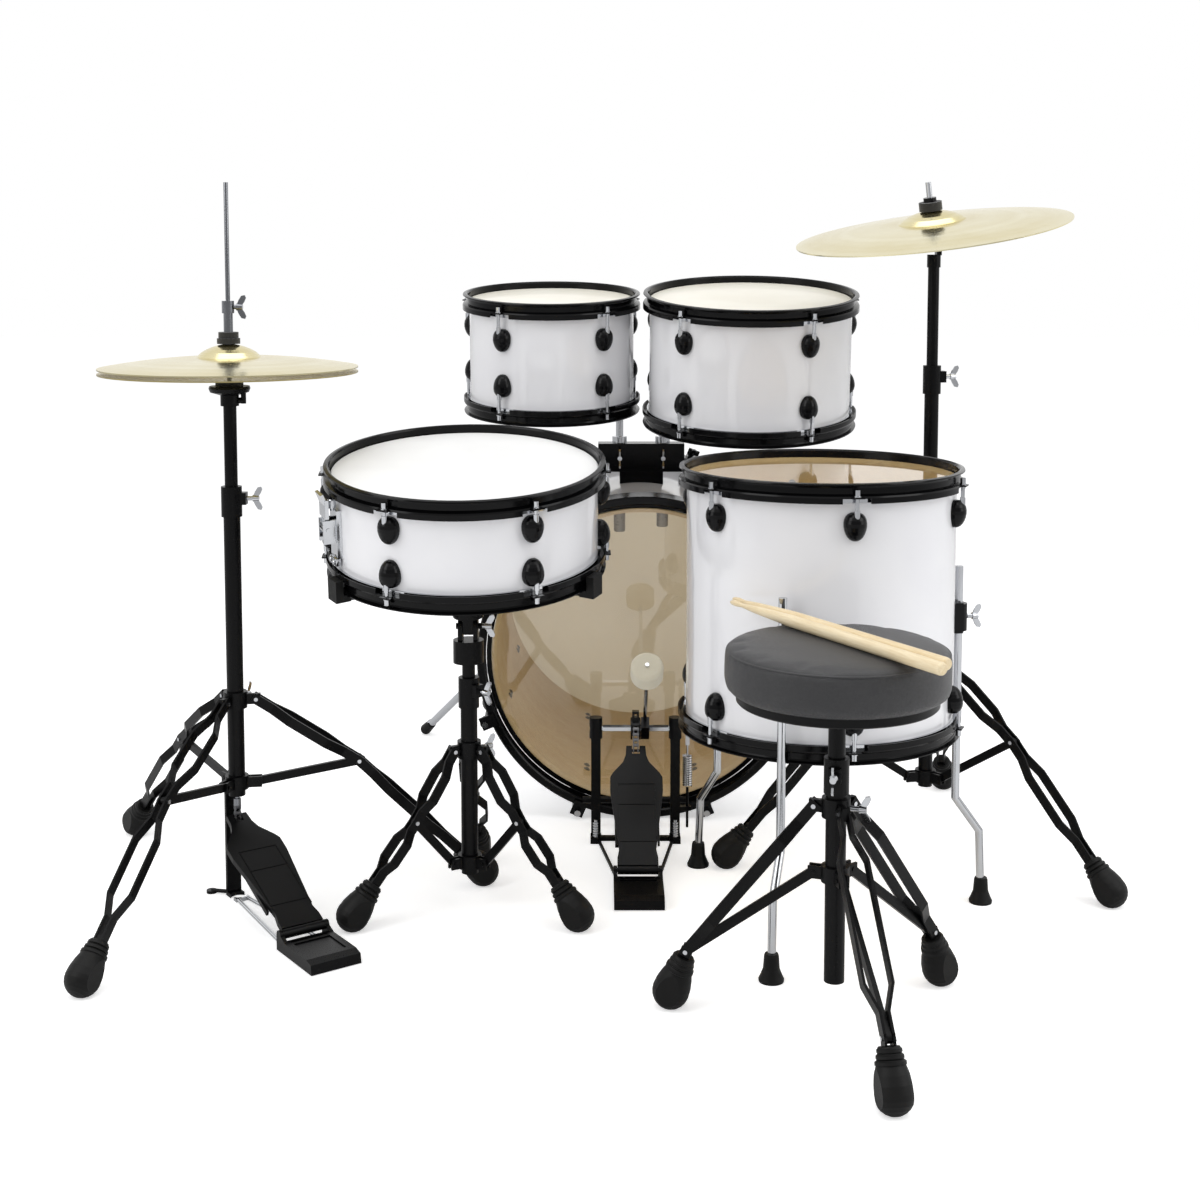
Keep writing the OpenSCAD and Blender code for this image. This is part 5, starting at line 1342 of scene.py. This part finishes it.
@dataclass(frozen=True)
class Studio:
    """White floor and surroundings, soft boxes and the camera.

    The two spans are those of a direction's Y and Z in which it goes from dim to white.
    """

    lens: float = 52.35
    drop: float = 5.128
    shift_down: float = 0.165
    sensor: float = 36.0
    nearest: float = 0.01
    eye: tuple[float, float, float] = (-0.064, -2.480, 0.8718)
    shade: str = "#e9e9ea"
    shade_strength: float = 0.72
    dim: float = 0.42
    behind: tuple[float, float] = (-0.55, 0.25)
    above: tuple[float, float] = (0.25, 0.75)
    floor_size: float = 14.0
    floor_colour: tuple[float, float, float, float] = (0.9, 0.9, 0.9, 1)
    floor_glow: float = 0.5
    lamps: tuple[SoftBox, ...] = (
        SoftBox("left_box", (-2.2, -1.6, 1.9), (1.4, 2.2), 26.0),
        SoftBox("right_box", (2.3, -1.2, 1.8), (1.4, 2.2), 26.0),
        SoftBox("top_box", (0.0, -0.4, 3.0), (3.0, 2.4), 34.0),
    )

    def build(self) -> None:
        """Sets the whole stage up."""
        self.add_world()
        self.add_floor()
        for lamp in self.lamps:
            lamp.build()
        self.add_camera()
        view = bpy.context.scene.view_settings
        view.view_transform = "Standard"

    def add_world(self) -> None:
        world = bpy.data.worlds.new("studio")
        world.use_nodes = True
        graph = Graph(world.node_tree)
        path = graph.add("LightPath").outputs
        way = graph.add("SeparateXYZ", {
            0: graph.add("TexCoord").outputs["Generated"]}).outputs
        behind, above = (graph.add("MapRange", {
            "Value": way[axis], "From Min": low, "From Max": high,
            "To Min": self.dim, "To Max": 1.0})
            for axis, (low, high) in (("Y", self.behind), ("Z", self.above)))
        camera = path["Is Camera Ray"]
        seen = graph.largest(camera, path["Is Glossy Ray"], path["Is Transmission Ray"])
        lit = graph.add("Background", {
            "Color": linear(self.shade), "Strength": self.shade_strength})
        white = graph.add("Background", {
            "Color": WHITE_LIGHT, "Strength": graph.largest(camera, behind, above)})
        both = graph.add("MixShader", {0: seen, 1: lit, 2: white})
        graph.add("OutputWorld", {"Surface": both})
        bpy.context.scene.world = world

    def add_floor(self) -> None:
        """A wide white floor that keeps faint shadows."""
        bm = bmesh.new()
        bmesh.ops.create_grid(bm, x_segments=1, y_segments=1, size=self.floor_size)
        mesh = bpy.data.meshes.new("floor")
        bm.to_mesh(mesh)
        bm.free()
        floor = bpy.data.objects.new("floor", mesh)
        bpy.context.scene.collection.objects.link(floor)
        paint = bpy.data.materials.new("floor_white")
        paint.use_nodes = True
        graph = Graph(paint.node_tree)
        diffuse = graph.add("BsdfDiffuse", {"Color": self.floor_colour})
        seen = graph.add("LightPath").outputs["Is Camera Ray"]
        glow = graph.add("Emission", {
            "Color": WHITE_LIGHT, "Strength": graph.add("Math", {
                0: seen, 1: self.floor_glow}, operation="MULTIPLY")})
        both = graph.add("AddShader", {0: diffuse, 1: glow})
        graph.add("OutputMaterial", {"Surface": both})
        mesh.materials.append(paint)

    def add_camera(self) -> None:
        """The camera, level with the toms and a little above them."""
        data = bpy.data.cameras.new("camera")
        data.lens = self.lens
        data.sensor_width = self.sensor
        data.shift_y = -self.shift_down
        data.clip_start = self.nearest
        camera = bpy.data.objects.new("camera", data)
        camera.location = self.eye
        camera.rotation_euler = (math.radians(90 - self.drop), 0, 0)
        bpy.context.scene.collection.objects.link(camera)
        bpy.context.scene.camera = camera


def drum_place(x: float, y: float, rim: float, tilt: float) -> Matrix:
    """Finds the upper edge of a drum's shell.

    Args:
        rim: The rim's height.
        tilt: How far it leans towards the drummer, in degrees.
    Returns:
        The place, with Z out of the drum.
    """
    return shift(x, y, rim) @ turn(tilt, "X") @ shift(0, 0, -LIP)


PARTS = (
    Drum("tom1", "tom1", drum_place(-139, 224, 800, 6), diameter=254, depth=163,
         batter=Head.CREAM, lugs=5, first_lug=-51.4, inset=47),
    Drum("tom2", "tom2", drum_place(164, 159, 802, 8), diameter=305, depth=181,
         batter=Head.CREAM, lugs=5, first_lug=-61, inset=45),
    Drum("floor_tom", "kit", drum_place(219, -260, 592, 0), diameter=343, depth=318,
         batter=Head.CLEAR, lugs=6, first_lug=-83.5, inset=41),
    Drum("snare", "snare", SNARE, diameter=339, depth=121,
         batter=Head.WHITE, lugs=6, first_lug=2, inset=33),
    BassDrum(),
    FloorLegs(),
    SnareFittings(),
    Cymbal("crash_cymbal", CRASH @ shift(0, 0, 18)),
    Cymbal("hihat_top_cymbal", shift(*HIHAT_AT, 714)),
    # The lower hi-hat cymbal takes darker bronze tones than the upper one.
    Cymbal("hihat_bottom_cymbal", shift(*HIHAT_AT, 706), colour="#d5c999", tone="#b8a566"),
    Stand("hihat", HIHAT_AT, rivets=((27, 272), (162, 182)), first=8.7),
    Stand("crash", CRASH_AT, rivets=((25, 285), (145, 190)), first=-46.2),
    Stand("snare", SNARE_AT, rivets=((23, 213), (78, 127)), first=-30),
    Stand("throne", THRONE_AT, rivets=((24, 256), (170, 70)), first=-79),
    HiHat(),
    CrashTop(),
    BassPedal(),
    Throne(),
    Sticks(),
)


def main() -> None:
    """Dresses every sub-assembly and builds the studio."""
    logging.basicConfig(level=logging.INFO)
    for part in PARTS:
        part.dress()
        LOG.info("dressed %s", type(part).__name__)
    paint_whole(RUBBER, "tripod_feet")
    Studio().build()


if __name__ == "__main__":
    main()
